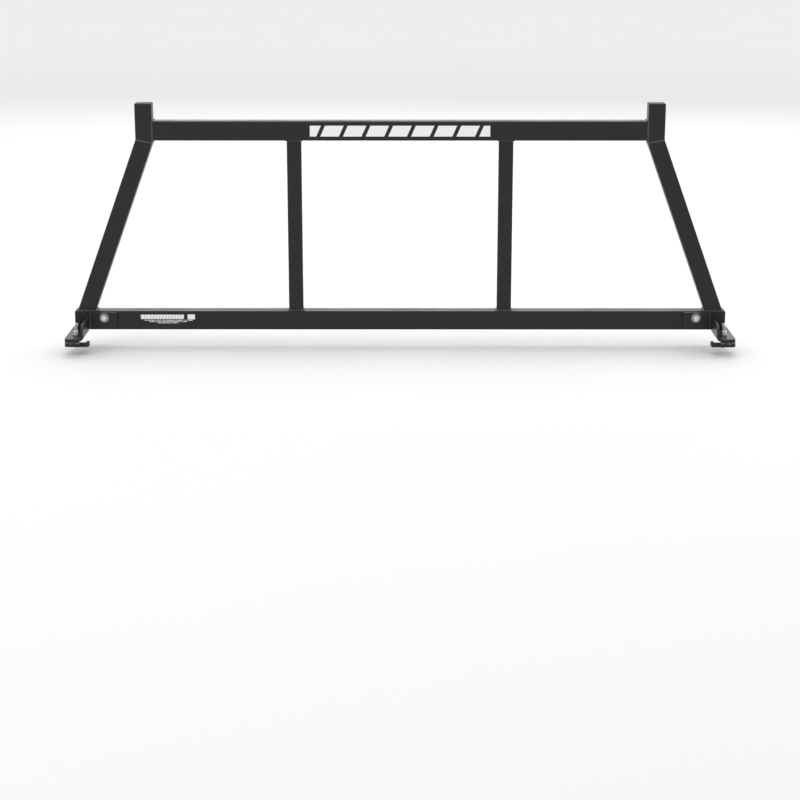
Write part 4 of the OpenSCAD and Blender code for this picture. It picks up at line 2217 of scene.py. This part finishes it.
@dataclass
class Studio:
    """Pale floor, soft light and the camera."""

    camera_place: Vector = field(default_factory=lambda: Vector((0.009, -4.916, 1.145)))
    aim_drop: float = 0.47
    lens: float = 86.0
    sensor: float = 36.0
    floor_half: float = 150.0
    floor_gap: float = 1 * MM
    horizon: Colour = (0.85, 0.85, 0.86)
    sky: Colour = (0.97, 0.98, 1.0)
    sky_starts: float = 0.02
    sky_full: float = 0.30
    lamps: tuple[SoftBox, ...] = (
        SoftBox("overhead", Vector((0, 1.2, 3.6)), 4.5, 2.4, 34),
        SoftBox("key", Vector((-2.8, -2.6, 2.6)), 2.0, 2.0, 20),
        SoftBox("back", Vector((0.4, 5.0, 2.8)), 5.0, 2.2, 60),
        SoftBox("side", Vector((3.6, 0.6, 1.9)), 1.6, 2.2, 16),
    )

    def floor_level(self) -> float:
        """Just under the clamps when they hang at their lowest."""
        drop = max(max(j.get("range_m", (0.0,))) for j in frame["joints"])
        return CAD_BOX[0].z - drop - self.floor_gap

    def lay_floor(self) -> None:
        """Lays the floor."""
        level, half = self.floor_level(), self.floor_half
        corners = [(x * half, y * half, level) for x, y in ((-1, -1), (1, -1), (1, 1), (-1, 1))]
        mesh = bpy.data.meshes.new("studio_floor")
        mesh.from_pydata(corners, [], [(0, 1, 2, 3)])
        shown("studio_floor", mesh, StudioFloor().material())

    def light_sky(self) -> None:
        """Lights the room from all round, as bright at the horizon as the floor is."""
        world = bpy.data.worlds.new("studio")
        world.use_nodes = True
        bpy.context.scene.world = world
        graph = Graph(world.node_tree)
        _, _, up = graph.split(graph.add("ShaderNodeTexCoord", output="Generated"))
        rise = up.ramp(self.sky_starts, self.sky_full)
        colour = graph.mix(rise, self.horizon, self.sky)
        background = world.node_tree.nodes["Background"]
        world.node_tree.links.new(colour.socket, background.inputs["Color"])

    def set_camera(self, middle: Vector) -> None:
        """Stands the camera behind the truck, tipped so that the rack sits high in the frame.

        Args:
            middle: The middle of the rack.
        """
        data = bpy.data.cameras.new("camera")
        data.lens, data.sensor_width = self.lens, self.sensor
        camera = bpy.data.objects.new("camera", data)
        camera.location = self.camera_place
        aim = middle - Z_AXIS * self.aim_drop
        camera.rotation_euler = (aim - self.camera_place).to_track_quat("-Z", "Y").to_euler()
        bpy.context.scene.collection.objects.link(camera)
        bpy.context.scene.camera = camera
        bpy.context.scene.view_settings.view_transform = "Standard"

    def build(self) -> None:
        """Sets up the whole studio."""
        middle = (CAD_BOX[0] + CAD_BOX[1]) / 2
        self.lay_floor()
        self.light_sky()
        for lamp in self.lamps:
            lamp.build(middle)
        self.set_camera(middle)


def main() -> None:
    """Builds the rack's looks round the frame, and then the studio."""
    logging.basicConfig(level=logging.INFO, format="%(name)s %(message)s")
    frame_coat = PowderCoat("frame_powder_coat", (0.0075, 0.0075, 0.0078), (0.026, 0.026, 0.026)).material()
    # The bracket coat's paler edge colour is raised as a painted highlight on the plate's edges
    bracket_coat = PowderCoat(
        "bracket_powder_coat", (0.0065, 0.0065, 0.0067), (0.060, 0.060, 0.060), roughness=0.34
    ).material()
    # Bead coat painted paler than the frame coat: a painted highlight for the glint on the welds, with real
    # extra gloss
    bead_coat = PowderCoat(
        "bead_coat", (0.022, 0.022, 0.022), (0.085, 0.085, 0.085), roughness=0.30, gloss=0.6
    ).material()
    plastic, rubber = MouldedPlastic().material(), SheetRubber().material()
    zinc, nylon = ZincPlate().material(), Nylon().material()
    dull_zinc = ZincPlate(
        "dull_zinc", (0.235, 0.24, 0.25), (0.285, 0.275, 0.25), roughness=0.36
    ).material()
    copies = PairedCopies()

    tubes = TubeFrame(frame_coat)
    tubes.build()
    for assembly in (
        WeldBeads(bead_coat, tubes.seams),
        TubeCaps(plastic),
        SideBrackets(bracket_coat, rubber),
        RailFasteners(zinc, dull_zinc, copies, nylon=nylon),
        BedClamps(zinc, dull_zinc, copies, coat=bracket_coat),
        Films(),
        Studio(),
    ):
        assembly.build()
        LOG.info("%s done", type(assembly).__name__)


if __name__ == "__main__":
    main()
